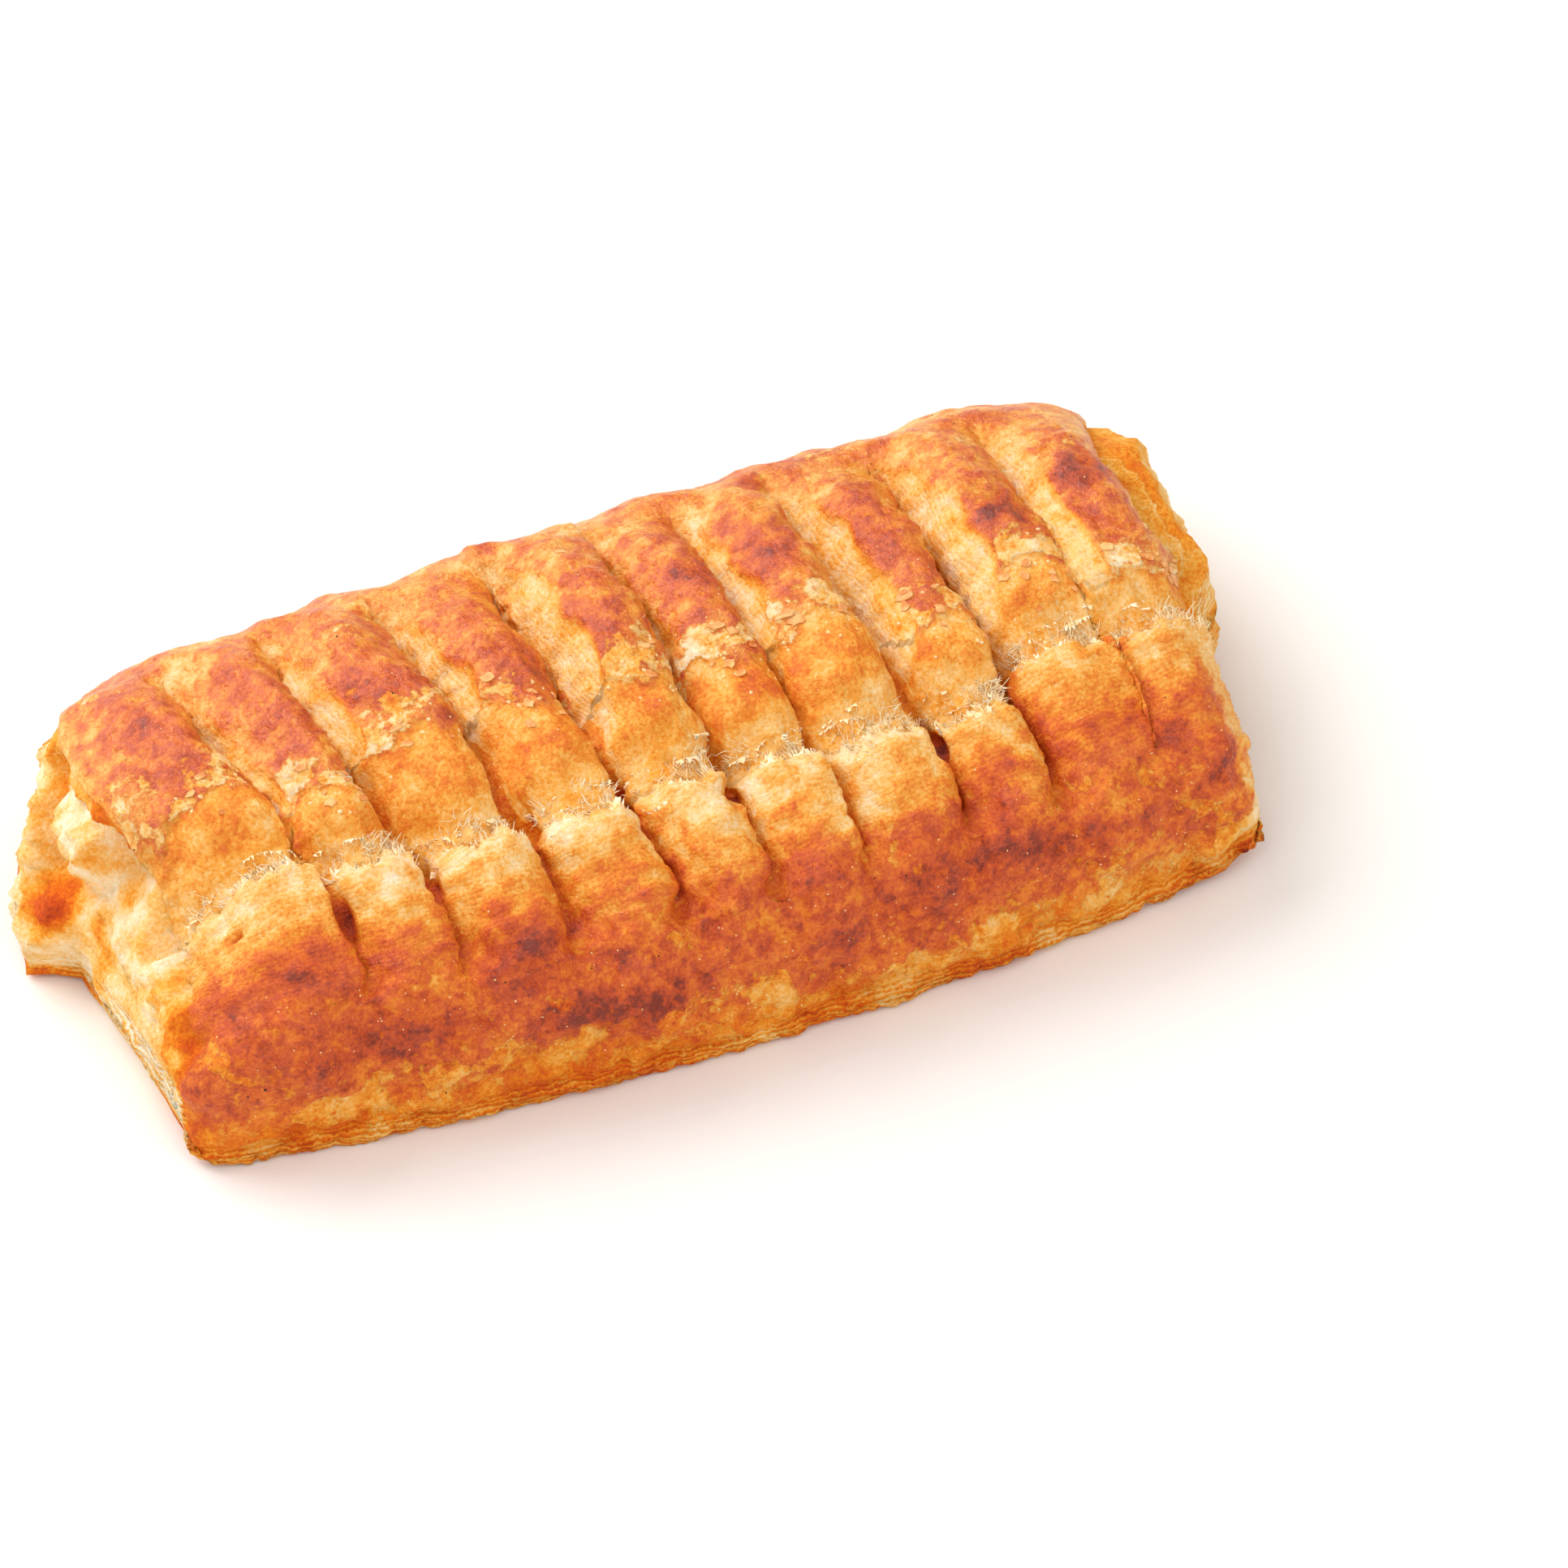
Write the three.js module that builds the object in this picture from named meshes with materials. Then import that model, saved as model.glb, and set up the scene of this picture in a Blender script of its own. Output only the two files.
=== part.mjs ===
// A baked chicken puff: a sheet of puff pastry folded over its filling, with the upper half slit into strips.
// Units are millimetres. +X runs along the puff, -Y is the sealed front edge, +Z is up, and it lies on Z = 0.
// The fold (spine) is at the back. The strips run from the spine over the top and down to the front band,
// and each strip has torn across near its front, along the tear line.
import * as THREE from "three";

const { clamp, lerp, smoothstep } = THREE.MathUtils;

// Driving dimensions
const STRIPS_LENGTH = 140; // all strips together, along X
const SLIT_DEPTH = 7.2; // a slit's depth below the crest of its strips
const BAND_SLIT_DEPTH = 4.2; // a slit's depth between the tear line and the band
const STRIP_LEAN = 0.12; // how far a strip's crown leans to the right, as a share of its width
const LEFT_FLANK = 1.5; // a strip's left flank slopes gently
const RIGHT_FLANK = 0.9; // and its right flank falls off steeply
const PLEAT_DEPTH = 0.9; // each slit goes on into the band as a shallow pleat
const TEAR_DEPTH = 3.0; // how far the tear line lies below the strips
const TEAR_FRONT_WIDTH = 2.2; // the torn edge on the front side of the tear is steep
const TEAR_BACK_WIDTH = 8; // and the strip behind it slopes down gently
const TEAR_WANDER = 0.7; // how far the torn edge wanders along each strip
const SKIN_STEP = 0.7; // the browned top skin ends in a step halfway down each strip
const FRONT_BOW = 6.4; // how far the front edge stands out where it bows most
const BOW_MIDDLE = 15; // where along X that is
const BOW_HALF_LENGTH = 72;
const LEFT_DROP = 3.6; // how far the top sinks towards the left end
const RIGHT_DROP = 2.6; // and towards the right end
const RIGHT_SINK = 1.4; // the right half is a little flatter than the left half
const FOLD_DROP = 3.8; // how far the fold sinks at the right end, behind the last strip
const RIGHT_LIFT = 1.5; // how far the right end's underside curls up off the tray
const LIFT_LENGTH = 26; // the length of that curl
const SADDLE_DEPTH = 3.5; // how far the top sinks behind the band at the left end, where the top layer stops short
const END_RADIUS = 8; // rounding from the sides into an end face
const LEFT_INSET = 4.2; // how far that rounding brings the sides in at the left end
const RIGHT_INSET = 7.0; // and at the right end
const LEFT_CORNER = 0.7; // the share of the rounding that is left down on the tray at the left end
const RIGHT_CORNER = 0.25; // and at the right end
const END_FADE = 12; // how quickly an end's own reach fades out along the puff
const LUMP_HEIGHT = 0.9; // unevenness of the baked surface
const FOOT_GROOVE = 0.5; // the line between the sheet's bottom layers and the band above them
const LAYER_RELIEF = 0.5; // the pastry's layers on the end faces
const SKIN_THICKNESS = 2.5; // the top skin's edge at the left end
const FOLD_THICKNESS = 1.2; // the fold's edge
const BAND_THICKNESS = 0.5; // and the band's, where the skin rolls over the end
const CRUST_COLOUR = 0xdd8a3c;

const HALF_LENGTH = STRIPS_LENGTH / 2;

// The section at mid length, from the front foot up over the band, the strips and the spine and back underneath.
// left and right say how far the puff reaches there beyond the ends of the strips, and rows is the number of
// grid rows up to the next station.
const STATIONS = [
  { name: "front edge", y: -36.1, z: 0.0, left: 3.3, right: -1.8, rows: 4 },
  { name: "foot", y: -37.7, z: 4.0, left: 3.6, right: -1.4, rows: 2 },
  { name: "belly", y: -38.4, z: 11.5, left: 3.8, right: -1.2, rows: 3 },
  { name: "shoulder", y: -37.0, z: 18.8, left: 3.0, right: -1.2, rows: 3 },
  { name: "slit mouth", y: -33.2, z: 24.0, left: 1.0, right: -1.2, rows: 6 },
  { name: "tear", y: -21.0, z: 30.8, left: -3.0, right: -0.5, rows: 6 },
  { name: "front slope", y: -9.0, z: 34.0, left: -3.5, right: -1.0, rows: 4 },
  { name: "crest", y: 5.0, z: 35.0, left: 0.0, right: -3.0, rows: 4 },
  { name: "slit root", y: 17.5, z: 32.2, left: -1.0, right: 0.0, rows: 3 },
  { name: "spine", y: 25.0, z: 26.6, left: -3.6, right: 3.5, rows: 3 },
  { name: "back", y: 30.8, z: 17.0, left: -7.3, right: 3.0, rows: 3 },
  { name: "heel", y: 31.8, z: 7.0, left: -4.3, right: 2.5, rows: 2 },
  { name: "back edge", y: 28.0, z: 0.0, left: -0.5, right: 2.5, rows: 2 },
  { name: "tongue back", y: 16.0, z: 0.0, left: 6.2, right: 5.5, rows: 2 },
  { name: "tongue side", y: 4.5, z: 0.0, left: 9.5, right: 6.0, rows: 1 },
  { name: "notch", y: 1.2, z: 0.0, left: 3.5, right: 6.0, rows: 2 },
  { name: "underside", y: -18.0, z: 0.0, left: 3.4, right: 3.0, rows: 2 },
];
const at = Object.fromEntries(STATIONS.map((station, index) => [station.name, index]));

// The strips: where each begins along X, how far its left slit swings to the right down to the band, the depth of
// that slit as a share of the usual, how much of it closes in front of the crest, how far the strip's crest stands
// above the usual, and how far its tear lies behind the tear line. The last entry closes the last strip.
const STRIPS = [
  { start: -70.0, swing: 0.0, depth: 0.35, shut: 0.0, crest: -0.3, tear: 4.0 },
  { start: -54.5, swing: 4.5, depth: 0.9, shut: 0.35, crest: 0.2, tear: 1.4 },
  { start: -42.0, swing: 4.5, depth: 1.0, shut: 0.0, crest: 0.4, tear: 0.4 },
  { start: -26.5, swing: 3.2, depth: 1.0, shut: 0.0, crest: -0.8, tear: 0.0 },
  { start: -12.0, swing: 2.0, depth: 1.15, shut: 0.0, crest: 1.5, tear: 0.8 },
  { start: 2.0, swing: 0.5, depth: 0.9, shut: 0.0, crest: -0.7, tear: -0.4 },
  { start: 13.8, swing: 0.8, depth: 0.9, shut: 0.0, crest: -0.5, tear: -1.0 },
  { start: 27.3, swing: 1.7, depth: 1.1, shut: 0.0, crest: -1.4, tear: -1.4 },
  { start: 41.2, swing: -0.5, depth: 1.25, shut: 0.0, crest: -0.6, tear: 2.2 },
  { start: 55.5, swing: 0.0, depth: 0.8, shut: 0.75, crest: -0.6, tear: 1.4 },
  { start: 70.0, swing: 0.0, depth: 0.3, shut: 0.0 },
];
const LAST_STRIP = STRIPS.length - 2;

// Grid
const COLUMNS_PER_STRIP = 9;
const RING_DEPTHS = [0.9, 2.0, 3.2, 4.6]; // rings on an end face that follow its rim, at these depths
const LEFT_SHARES = [0.11, 0.22, 0.33, 0.44, 0.56, 0.67, 0.78, 0.89]; // then rings at these shares of the way on
const RIGHT_SHARES = [0.2, 0.4, 0.6, 0.8]; // to the middle line
const MIDDLE_LINE = { front: -24, back: 18, z: 13, points: 13 };

// One coordinate of the section at t, counted in stations, as a closed Catmull-Rom curve.
function curved(key, t) {
  const count = STATIONS.length;
  const whole = Math.floor(t);
  const f = t - whole;
  const [a, b, c, d] = [-1, 0, 1, 2].map((step) => STATIONS[(whole + step + count) % count][key]);
  const slope = 0.5 * (c - a);
  const bend = 0.5 * (2 * a - 5 * b + 4 * c - d);
  const twist = 0.5 * (3 * b - a - 3 * c + d);
  return b + f * (slope + f * (bend + f * twist));
}

// A station's value at t by straight lines, for what must not overshoot.
function straight(key, t) {
  const count = STATIONS.length;
  const whole = Math.floor(t);
  return lerp(STATIONS[whole % count][key], STATIONS[(whole + 1) % count][key], t - whole);
}

// The section's height at t: the underside is flat.
function sectionHeight(t) {
  return t >= at["back edge"] ? 0 : Math.max(curved("z", t), 0);
}

// The section's outward normal at t.
function sectionNormal(t) {
  const count = STATIONS.length;
  const step = 0.02;
  const before = (t - step + count) % count;
  const after = (t + step) % count;
  const normal = new THREE.Vector2(
    sectionHeight(before) - sectionHeight(after),
    curved("y", after) - curved("y", before),
  ).normalize();
  return { y: normal.x, z: normal.y };
}

// A slow, uneven swelling of the crust, between -1 and 1: waves of 13 to 40 mm along X that drift round the section.
function lump(x, t) {
  const waves = [
    { along: 0.16, around: 1.9, phase: 0.4 },
    { along: 0.29, around: -1.1, phase: 2.1 },
    { along: 0.47, around: 2.6, phase: 4.0 },
    { along: 0.22, around: 3.7, phase: 5.2 },
  ];
  return waves.reduce((sum, wave) => sum + Math.sin(wave.along * x + wave.around * t + wave.phase), 0) / waves.length;
}

// How open the slits are at t, from 0 to 1: they end abruptly at the mouth and at the root.
function slitOpening(t) {
  const mouth = smoothstep(t, at["slit mouth"] - 0.35, at["slit mouth"] + 0.2);
  const root = smoothstep(t, at["slit root"] - 0.2, at["slit root"] + 0.4);
  return mouth * (1 - root);
}

// A slit's depth at t: shallow by the band, deepest over the crest, and a little less at the root.
function slitDepth(t) {
  const depth = lerp(BAND_SLIT_DEPTH, SLIT_DEPTH, smoothstep(t, at.tear - 0.2, at.tear + 1.1));
  return depth * (1 - 0.3 * smoothstep(t, at.crest, at["slit root"]));
}

// How far the torn valley lies below the strip, at a distance behind the tear line.
function tearDepth(behind) {
  const width = behind < 0 ? TEAR_FRONT_WIDTH : TEAR_BACK_WIDTH;
  return TEAR_DEPTH * (1 - smoothstep(Math.abs(behind), 0, width));
}

// How far the torn edge wanders at x, before it is scaled.
function wander(x) {
  return 0.5 * Math.sin(0.9 * x + 0.7) + 0.35 * Math.sin(2.1 * x + 2) + 0.25 * Math.sin(4.3 * x);
}

// Where a column crosses the row at t: along X, and how far the slits, the tear and the end of the browned skin
// bring the surface down there.
function onStrip(column, t, y) {
  const strip = STRIPS[column.strip];
  const next = STRIPS[column.strip + 1];
  const opening = slitOpening(t);
  const crown = Math.sin(Math.PI * column.turn);
  const bent = (1 - Math.cos(Math.PI * column.turn)) / 2 + STRIP_LEAN * crown;
  const down = t > at.belly ? clamp((5 - y) / 38, 0, 1) * smoothstep(sectionHeight(t), 8, 20) : 0;
  const left = strip.start + strip.swing * down;
  const x = lerp(left, next.start + next.swing * down, lerp(column.turn, bent, opening));
  const flank = 1 - Math.pow(crown, column.turn < 0.5 ? LEFT_FLANK : RIGHT_FLANK);
  const closed = smoothstep(-y, -6, 5);
  const share = lerp(strip.depth * (1 - strip.shut * closed), next.depth * (1 - next.shut * closed), column.turn);
  const slit = opening * slitDepth(t) * share * flank;
  const below = t < at.tear ? smoothstep(t, at.belly, at["slit mouth"]) * (1 - opening) : 0;
  const pleat = PLEAT_DEPTH * below * share * flank;
  const behind = y - STATIONS[at.tear].y - strip.tear - TEAR_WANDER * wander(x);
  const skinEnd = 4 + 3 * Math.sin(0.9 * strip.start) + Math.sin(0.8 * x);
  const skin = SKIN_STEP * (1 - smoothstep(y, skinEnd - 1, skinEnd + 1));
  const upper = smoothstep(t, at.tear, at.tear + 1) * (1 - smoothstep(t, at["slit root"], at.spine));
  return { x, drop: slit + pleat + opening * tearDepth(behind) + upper * (skin - strip.crest) };
}

// How far the top sinks behind the left end of the band.
function saddle(x, y) {
  return SADDLE_DEPTH * smoothstep(-x, 57, 70) * smoothstep(y, -31, -21) * (1 - smoothstep(y, -8, 1));
}

// The point on the sides, top or underside where a column crosses the row at t.
function bodyPoint(column, t) {
  const y = curved("y", t);
  const z = sectionHeight(t);
  const normal = sectionNormal(t);
  const { x, drop } = onStrip(column, t, y);
  const side = x < 0 ? -1 : 1;
  const fromEnd = HALF_LENGTH - Math.abs(x);
  const share = Math.abs(x) / HALF_LENGTH;
  const high = smoothstep(z, 6, 28);
  const turned = clamp(1 - fromEnd / END_RADIUS, 0, 1);
  const corner = side < 0 ? LEFT_CORNER : RIGHT_CORNER;
  const crisp = lerp(corner, 1, smoothstep(z, 0, 12)) * lerp(0.3, 1, smoothstep(-y, 0, 25));
  const inset = (side < 0 ? LEFT_INSET : RIGHT_INSET) * crisp * (1 - Math.sqrt(1 - turned * turned));
  const swell = LUMP_HEIGHT * lump(x, t) * smoothstep(z, 0, 8);
  const groove = y < 0 ? FOOT_GROOVE * Math.exp(-(((z - 3) / 0.6) ** 2)) : 0;
  const out = swell - drop - inset - groove;
  const sunk = (side < 0 ? LEFT_DROP : RIGHT_DROP) * Math.pow(share, 5) + RIGHT_SINK * smoothstep(x, 0, 60);
  const lifted = RIGHT_LIFT * smoothstep(x, HALF_LENGTH - LIFT_LENGTH, HALF_LENGTH) * (1 - high);
  const bow = FRONT_BOW * (1 - ((x - BOW_MIDDLE) / BOW_HALF_LENGTH) ** 2) * smoothstep(-y, 5, 36);
  const beyond = straight(side < 0 ? "left" : "right", t) * Math.exp(-fromEnd / END_FADE);
  const fold = FOLD_DROP * smoothstep(x, 56, 72) * smoothstep(y, 10, 24);
  const low = (sunk + saddle(x, y) + fold) * high;
  return new THREE.Vector3(x + side * beyond, y + normal.y * out - bow, z + normal.z * out - low + lifted);
}

// How high the band's pale layers stand on the left end face, before the skin rolls over them.
function leftEdge(y) {
  return lerp(4, 9, clamp((-y - 3) / 12, 0, 1));
}

// How far the left end face reaches beyond the strips. In front it is the band's stacked layers with the skin
// rolling over them, sloping down to a notch. Behind the notch the bottom sheet flares out as a low rounded tongue.
// It curls up towards the spine as a thin wall, round a hollow with the soft filling bulging out of it.
function leftReach(y, z) {
  const back = Math.max(y - 9, 0);
  const over = clamp((z - leftEdge(y)) / 17, 0, 1.4);
  const band = 3.8 - 8.5 * over * over;
  const flare = 9.6 - (0.54 + 0.02 * z) * back;
  const width = lerp(9, 4, smoothstep(y, 7, 14));
  const below = clamp((13.5 + 1.16 * back - z) / width, 0, 1);
  const sheet = lerp(-3, flare, Math.sqrt(1 - (1 - below) ** 2));
  const ball = 1 - ((y - 4.5) / 9) ** 2 - ((z - 20.5) / 7.5) ** 2;
  const filling = -3 + 7 * Math.max(ball, 0) ** 0.75;
  const behind = smoothstep((y + 0.12 * z) / 4.6, 0.2, 1);
  return lerp(band, Math.log(Math.exp(sheet) + Math.exp(filling)), behind);
}

// The same for the right end: the fold bulges out below the last strip as a smooth lobe.
function rightReach(y, z) {
  const band = -1.4 + 0.6 * Math.sin((Math.PI * clamp(z, 0, 24)) / 24);
  const bulge = 1.3 * Math.exp(-(((y - 13) / 7) ** 2));
  const low = 10 + bulge - 0.28 * Math.max(y - 12, 0);
  const over = clamp((z - 10) / 19, 0, 1);
  const lobe = -3.2 + low * Math.sqrt(1 - over * over);
  return lerp(band, lobe, smoothstep(y, -19, -8));
}

// How far in from the rim an end face keeps to it: hardly at all where the skin rolls over it.
function rimThickness(side, y) {
  const front = side < 0 ? lerp(BAND_THICKNESS, SKIN_THICKNESS, smoothstep(y, -6, 3)) : BAND_THICKNESS;
  return lerp(front, FOLD_THICKNESS, smoothstep(y, 8, 18));
}

// A point on an end face: a distance in from the rim, and then a share of the way on to the face's middle line.
function facePoint(column, t) {
  const rim = bodyPoint(column, t);
  const middleY = clamp(curved("y", t), MIDDLE_LINE.front, MIDDLE_LINE.back);
  const way = Math.hypot(middleY - rim.y, MIDDLE_LINE.z - rim.z);
  const share = lerp(column.depth / way, 1, column.share);
  const y = lerp(rim.y, middleY, share);
  const z = lerp(rim.z, MIDDLE_LINE.z, share);
  const reach = column.side < 0 ? leftReach(y, z) : rightReach(y, z);
  const thickness = rimThickness(column.side, curved("y", t));
  const inside = smoothstep(share * way, thickness, 2 * thickness);
  const out = lerp(Math.abs(rim.x), HALF_LENGTH + reach, inside);
  return new THREE.Vector3(column.side * (out - (column.groove ? LAYER_RELIEF : 0)), y, z);
}

// The columns of the grid along X: out over the left end face to its rim, over the strips, and in over the right.
function gridColumns() {
  const face = (side) => {
    const edge = { strip: side < 0 ? 0 : LAST_STRIP, turn: side < 0 ? 0 : 1, side };
    const deepest = RING_DEPTHS[RING_DEPTHS.length - 1];
    return [
      ...RING_DEPTHS.map((depth, ring) => ({ ...edge, depth, share: 0, groove: ring % 2 === 0 })),
      ...(side < 0 ? LEFT_SHARES : RIGHT_SHARES).map((share) => ({ ...edge, depth: deepest, share })),
    ];
  };
  const body = [];
  for (let strip = 0; strip <= LAST_STRIP; strip += 1) {
    for (let step = 0; step < COLUMNS_PER_STRIP; step += 1) body.push({ strip, turn: step / COLUMNS_PER_STRIP });
  }
  body.push({ strip: LAST_STRIP, turn: 1 });
  return [...face(-1).reverse(), ...body, ...face(1)];
}

// The rows of the grid round the section, as values of t.
function gridRows() {
  return STATIONS.flatMap(({ rows }, station) => Array.from({ length: rows }, (_, row) => station + row / rows));
}

// The points of an end face's middle line.
function middlePoints(side) {
  const { front, back, z, points } = MIDDLE_LINE;
  return Array.from({ length: points }, (_, point) => {
    const y = lerp(front, back, point / (points - 1));
    return new THREE.Vector3(side * (HALF_LENGTH + (side < 0 ? leftReach(y, z) : rightReach(y, z))), y, z);
  });
}

// Triangles between an end face's innermost ring and its middle line, whose points are numbered from first.
function middleFaces(rows, ringIndex, first) {
  const { front, back, points } = MIDDLE_LINE;
  const nearest = (t) => Math.round(clamp((curved("y", t) - front) / (back - front), 0, 1) * (points - 1));
  return rows.flatMap((t, row) => {
    const here = nearest(t);
    const there = nearest(rows[(row + 1) % rows.length]);
    const step = Math.sign(there - here);
    const fan = [[ringIndex(row), ringIndex(row + 1), first + here]];
    for (let point = here; point !== there; point += step) {
      fan.push([ringIndex(row + 1), first + point + step, first + point]);
    }
    return fan;
  });
}

// One closed surface over the whole grid, with both end faces closed along their middle lines.
function crustGeometry() {
  const columns = gridColumns();
  const rows = gridRows();
  const points = columns.flatMap((column) =>
    rows.map((t) => (column.side ? facePoint(column, t) : bodyPoint(column, t))),
  );
  const index = (column, row) => column * rows.length + (row % rows.length);
  const last = columns.length - 1;
  const left = points.length;
  const right = left + MIDDLE_LINE.points;
  const faces = middleFaces(rows, (row) => index(0, row), left);
  faces.push(...middleFaces(rows, (row) => index(last, row), right).map((face) => face.reverse()));
  for (let column = 0; column < last; column += 1) {
    for (let row = 0; row < rows.length; row += 1) {
      const corners = [index(column, row), index(column + 1, row), index(column + 1, row + 1), index(column, row + 1)];
      faces.push([corners[0], corners[1], corners[2]], [corners[0], corners[2], corners[3]]);
    }
  }
  const geometry = new THREE.BufferGeometry().setFromPoints([...points, ...middlePoints(-1), ...middlePoints(1)]);
  geometry.setIndex(faces.flat());
  geometry.computeVertexNormals();
  return geometry;
}

// The origin is the middle of the puff's footprint box, on the surface it lies on.
function centred(geometry) {
  geometry.computeBoundingBox();
  const { min, max } = geometry.boundingBox;
  return geometry.translate(-(min.x + max.x) / 2, -(min.y + max.y) / 2, -min.z);
}

const crust = new THREE.MeshStandardMaterial({ color: CRUST_COLOUR, roughness: 0.55, metalness: 0 });
const pastry = new THREE.Mesh(centred(crustGeometry()), crust);
pastry.name = "pastry";

const puff = new THREE.Group();
puff.add(pastry);

export default puff;
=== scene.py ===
"""A baked chicken puff, dressed for rendering: a slit pastry parcel with a browned crust and torn strips.

The crust is worked out from the same named sizes as the plain solid, on a much finer grid, with the relief
and the browning of real pastry on top, and painted shade in its slits, torn valleys and pits. Fibres, flakes,
crumbs and pepper lie on that surface. Sizes are millimetres until a mesh is made, and metres from there on.
"""

import logging
import math
from dataclasses import dataclass
from enum import Enum

import bpy
import numpy as np
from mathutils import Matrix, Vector

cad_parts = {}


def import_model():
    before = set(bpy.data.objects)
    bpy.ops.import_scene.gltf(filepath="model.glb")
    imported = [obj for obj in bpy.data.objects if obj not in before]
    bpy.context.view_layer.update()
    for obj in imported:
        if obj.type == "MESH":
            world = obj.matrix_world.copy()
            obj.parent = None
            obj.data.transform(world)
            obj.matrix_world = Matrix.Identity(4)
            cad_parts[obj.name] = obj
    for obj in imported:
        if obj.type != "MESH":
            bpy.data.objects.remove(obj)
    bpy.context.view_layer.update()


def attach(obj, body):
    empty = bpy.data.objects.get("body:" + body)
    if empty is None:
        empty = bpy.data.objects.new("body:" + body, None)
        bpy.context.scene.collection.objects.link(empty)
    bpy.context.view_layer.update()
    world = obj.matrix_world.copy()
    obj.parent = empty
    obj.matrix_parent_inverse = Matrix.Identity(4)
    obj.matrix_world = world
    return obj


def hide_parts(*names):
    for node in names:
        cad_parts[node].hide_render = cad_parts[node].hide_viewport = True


log = logging.getLogger("puff")

MM = 0.001
MM_PER_METRE = 1000.0
FULL_TURN = 2.0 * math.pi
BODY = "root"


def smoothstep(value: np.ndarray, low: float, high: float) -> np.ndarray:
    """Return a rise from 0 at low to 1 at high, flat at both ends."""
    share = np.clip((value - low) / (high - low), 0.0, 1.0)
    return share * share * (3.0 - 2.0 * share)


def lerp(a: np.ndarray, b: np.ndarray, share: np.ndarray) -> np.ndarray:
    """Return a at share 0, b at share 1 and the straight line between."""
    return a + (b - a) * share


def bell(value: np.ndarray, middle: float, half: float) -> np.ndarray:
    """Return a bump of height 1 at middle that has fallen to about a third one half-width away."""
    return np.exp(-(((value - middle) / half) ** 2))


def between_stops(value: np.ndarray, stops: dict[float, float]) -> np.ndarray:
    """Return straight lines between stops, which give a result for each of some rising values."""
    return np.interp(value, list(stops), list(stops.values()))


def unit(vectors: np.ndarray) -> np.ndarray:
    """Return the vectors at length 1."""
    return vectors / np.maximum(np.linalg.norm(vectors, axis=-1, keepdims=True), 1e-9)


class Noise:
    """Smooth random waves in space: gradient noise on a lattice with shuffled unit gradients."""

    LATTICE = 256
    GAIN = 1.7
    OCTAVE_SHIFT = 37.0
    FINE_SHIFT = 71.0

    def __init__(self, seed: int) -> None:
        """Shuffle the lattice.

        Args:
            seed: Any whole number; the same one gives the same waves.
        """
        rng = np.random.default_rng(seed)
        self.order = np.tile(rng.permutation(self.LATTICE), 2)
        self.gradients = unit(rng.normal(size=(self.LATTICE, 3)))

    def at(self, points: np.ndarray, size: float | tuple[float, float, float]) -> np.ndarray:
        """Work out the noise at points.

        At each corner of a point's lattice cell the gradient is multiplied by the way from that corner. The
        eight products are mixed by 6f^5 - 15f^4 + 10f^3 along each axis.

        Args:
            points: Positions in mm, with x, y and z last.
            size: The lattice spacing in mm, one for all axes or one for each.

        Returns:
            The noise, mostly between -1 and 1.
        """
        cell = points / np.asarray(size, float)
        whole = np.floor(cell).astype(int)
        part = cell - whole
        mix = part**3 * (part * (part * 6.0 - 15.0) + 10.0)
        total = np.zeros(points.shape[:-1])
        for corner in np.ndindex(2, 2, 2):
            at = (whole + corner) & (self.LATTICE - 1)
            picked = self.order[self.order[self.order[at[..., 0]] + at[..., 1]] + at[..., 2]]
            weight = np.prod(np.where(corner, mix, 1.0 - mix), axis=-1)
            total += weight * np.sum(self.gradients[picked] * (part - corner), axis=-1)
        return self.GAIN * total

    def rough(self, points: np.ndarray, size: float, octaves: int) -> np.ndarray:
        """Return a sum of waves, each half the size and half the height of the one before."""
        shift = self.OCTAVE_SHIFT
        return sum(0.5**k * self.at(points + shift * k, size * 0.5**k) for k in range(octaves))

    def blistered(self, points: np.ndarray, size: float) -> np.ndarray:
        """Return rounded bubbles with creases between them, from 0 in a crease: the size of the noise."""
        fine = 0.5 * np.abs(self.at(points + self.FINE_SHIFT, 0.5 * size))
        return np.abs(self.at(points, size)) + fine

    def flaky(self, points: np.ndarray, size: float, levels: float) -> np.ndarray:
        """Cut rough waves into level terraces with steep edges, like thin stacked plates.

        Args:
            points: Positions in mm.
            size: The size of the largest waves in mm.
            levels: The number of terraces.

        Returns:
            The height, from 0 to about 1.
        """
        height = (0.5 + 0.5 * self.rough(points, size, 4)) * levels
        step = np.floor(height)
        return (step + smoothstep(height - step, 0.8, 1.0)) / levels


@dataclass(frozen=True)
class Station:
    """One point of the section at mid length, in mm.

    left and right say how far the puff's ends reach there beyond its strips, and rows is the number of grid
    rows up to the next station.
    """

    name: str
    y: float
    z: float
    left: float
    right: float
    rows: int


@dataclass(frozen=True)
class Strip:
    """One slit strip. Sizes are in mm, and depth, cut and shut are shares.

    start is where its left slit begins along X at the crest, and swing how far that slit drifts to the right
    down to the band. depth is the slit's depth, crest the strip's height, and tear its tear's place behind
    the tear line. skin_end is where its browned skin ends across the puff, cut how much of its width is the
    pale cut flank, and shut how far its left slit closes in front of the crest.
    """

    start: float
    swing: float
    depth: float
    crest: float = 0.0
    tear: float = 0.0
    skin_end: float = 4.0
    cut: float = 0.2
    shut: float = 0.0


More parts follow.
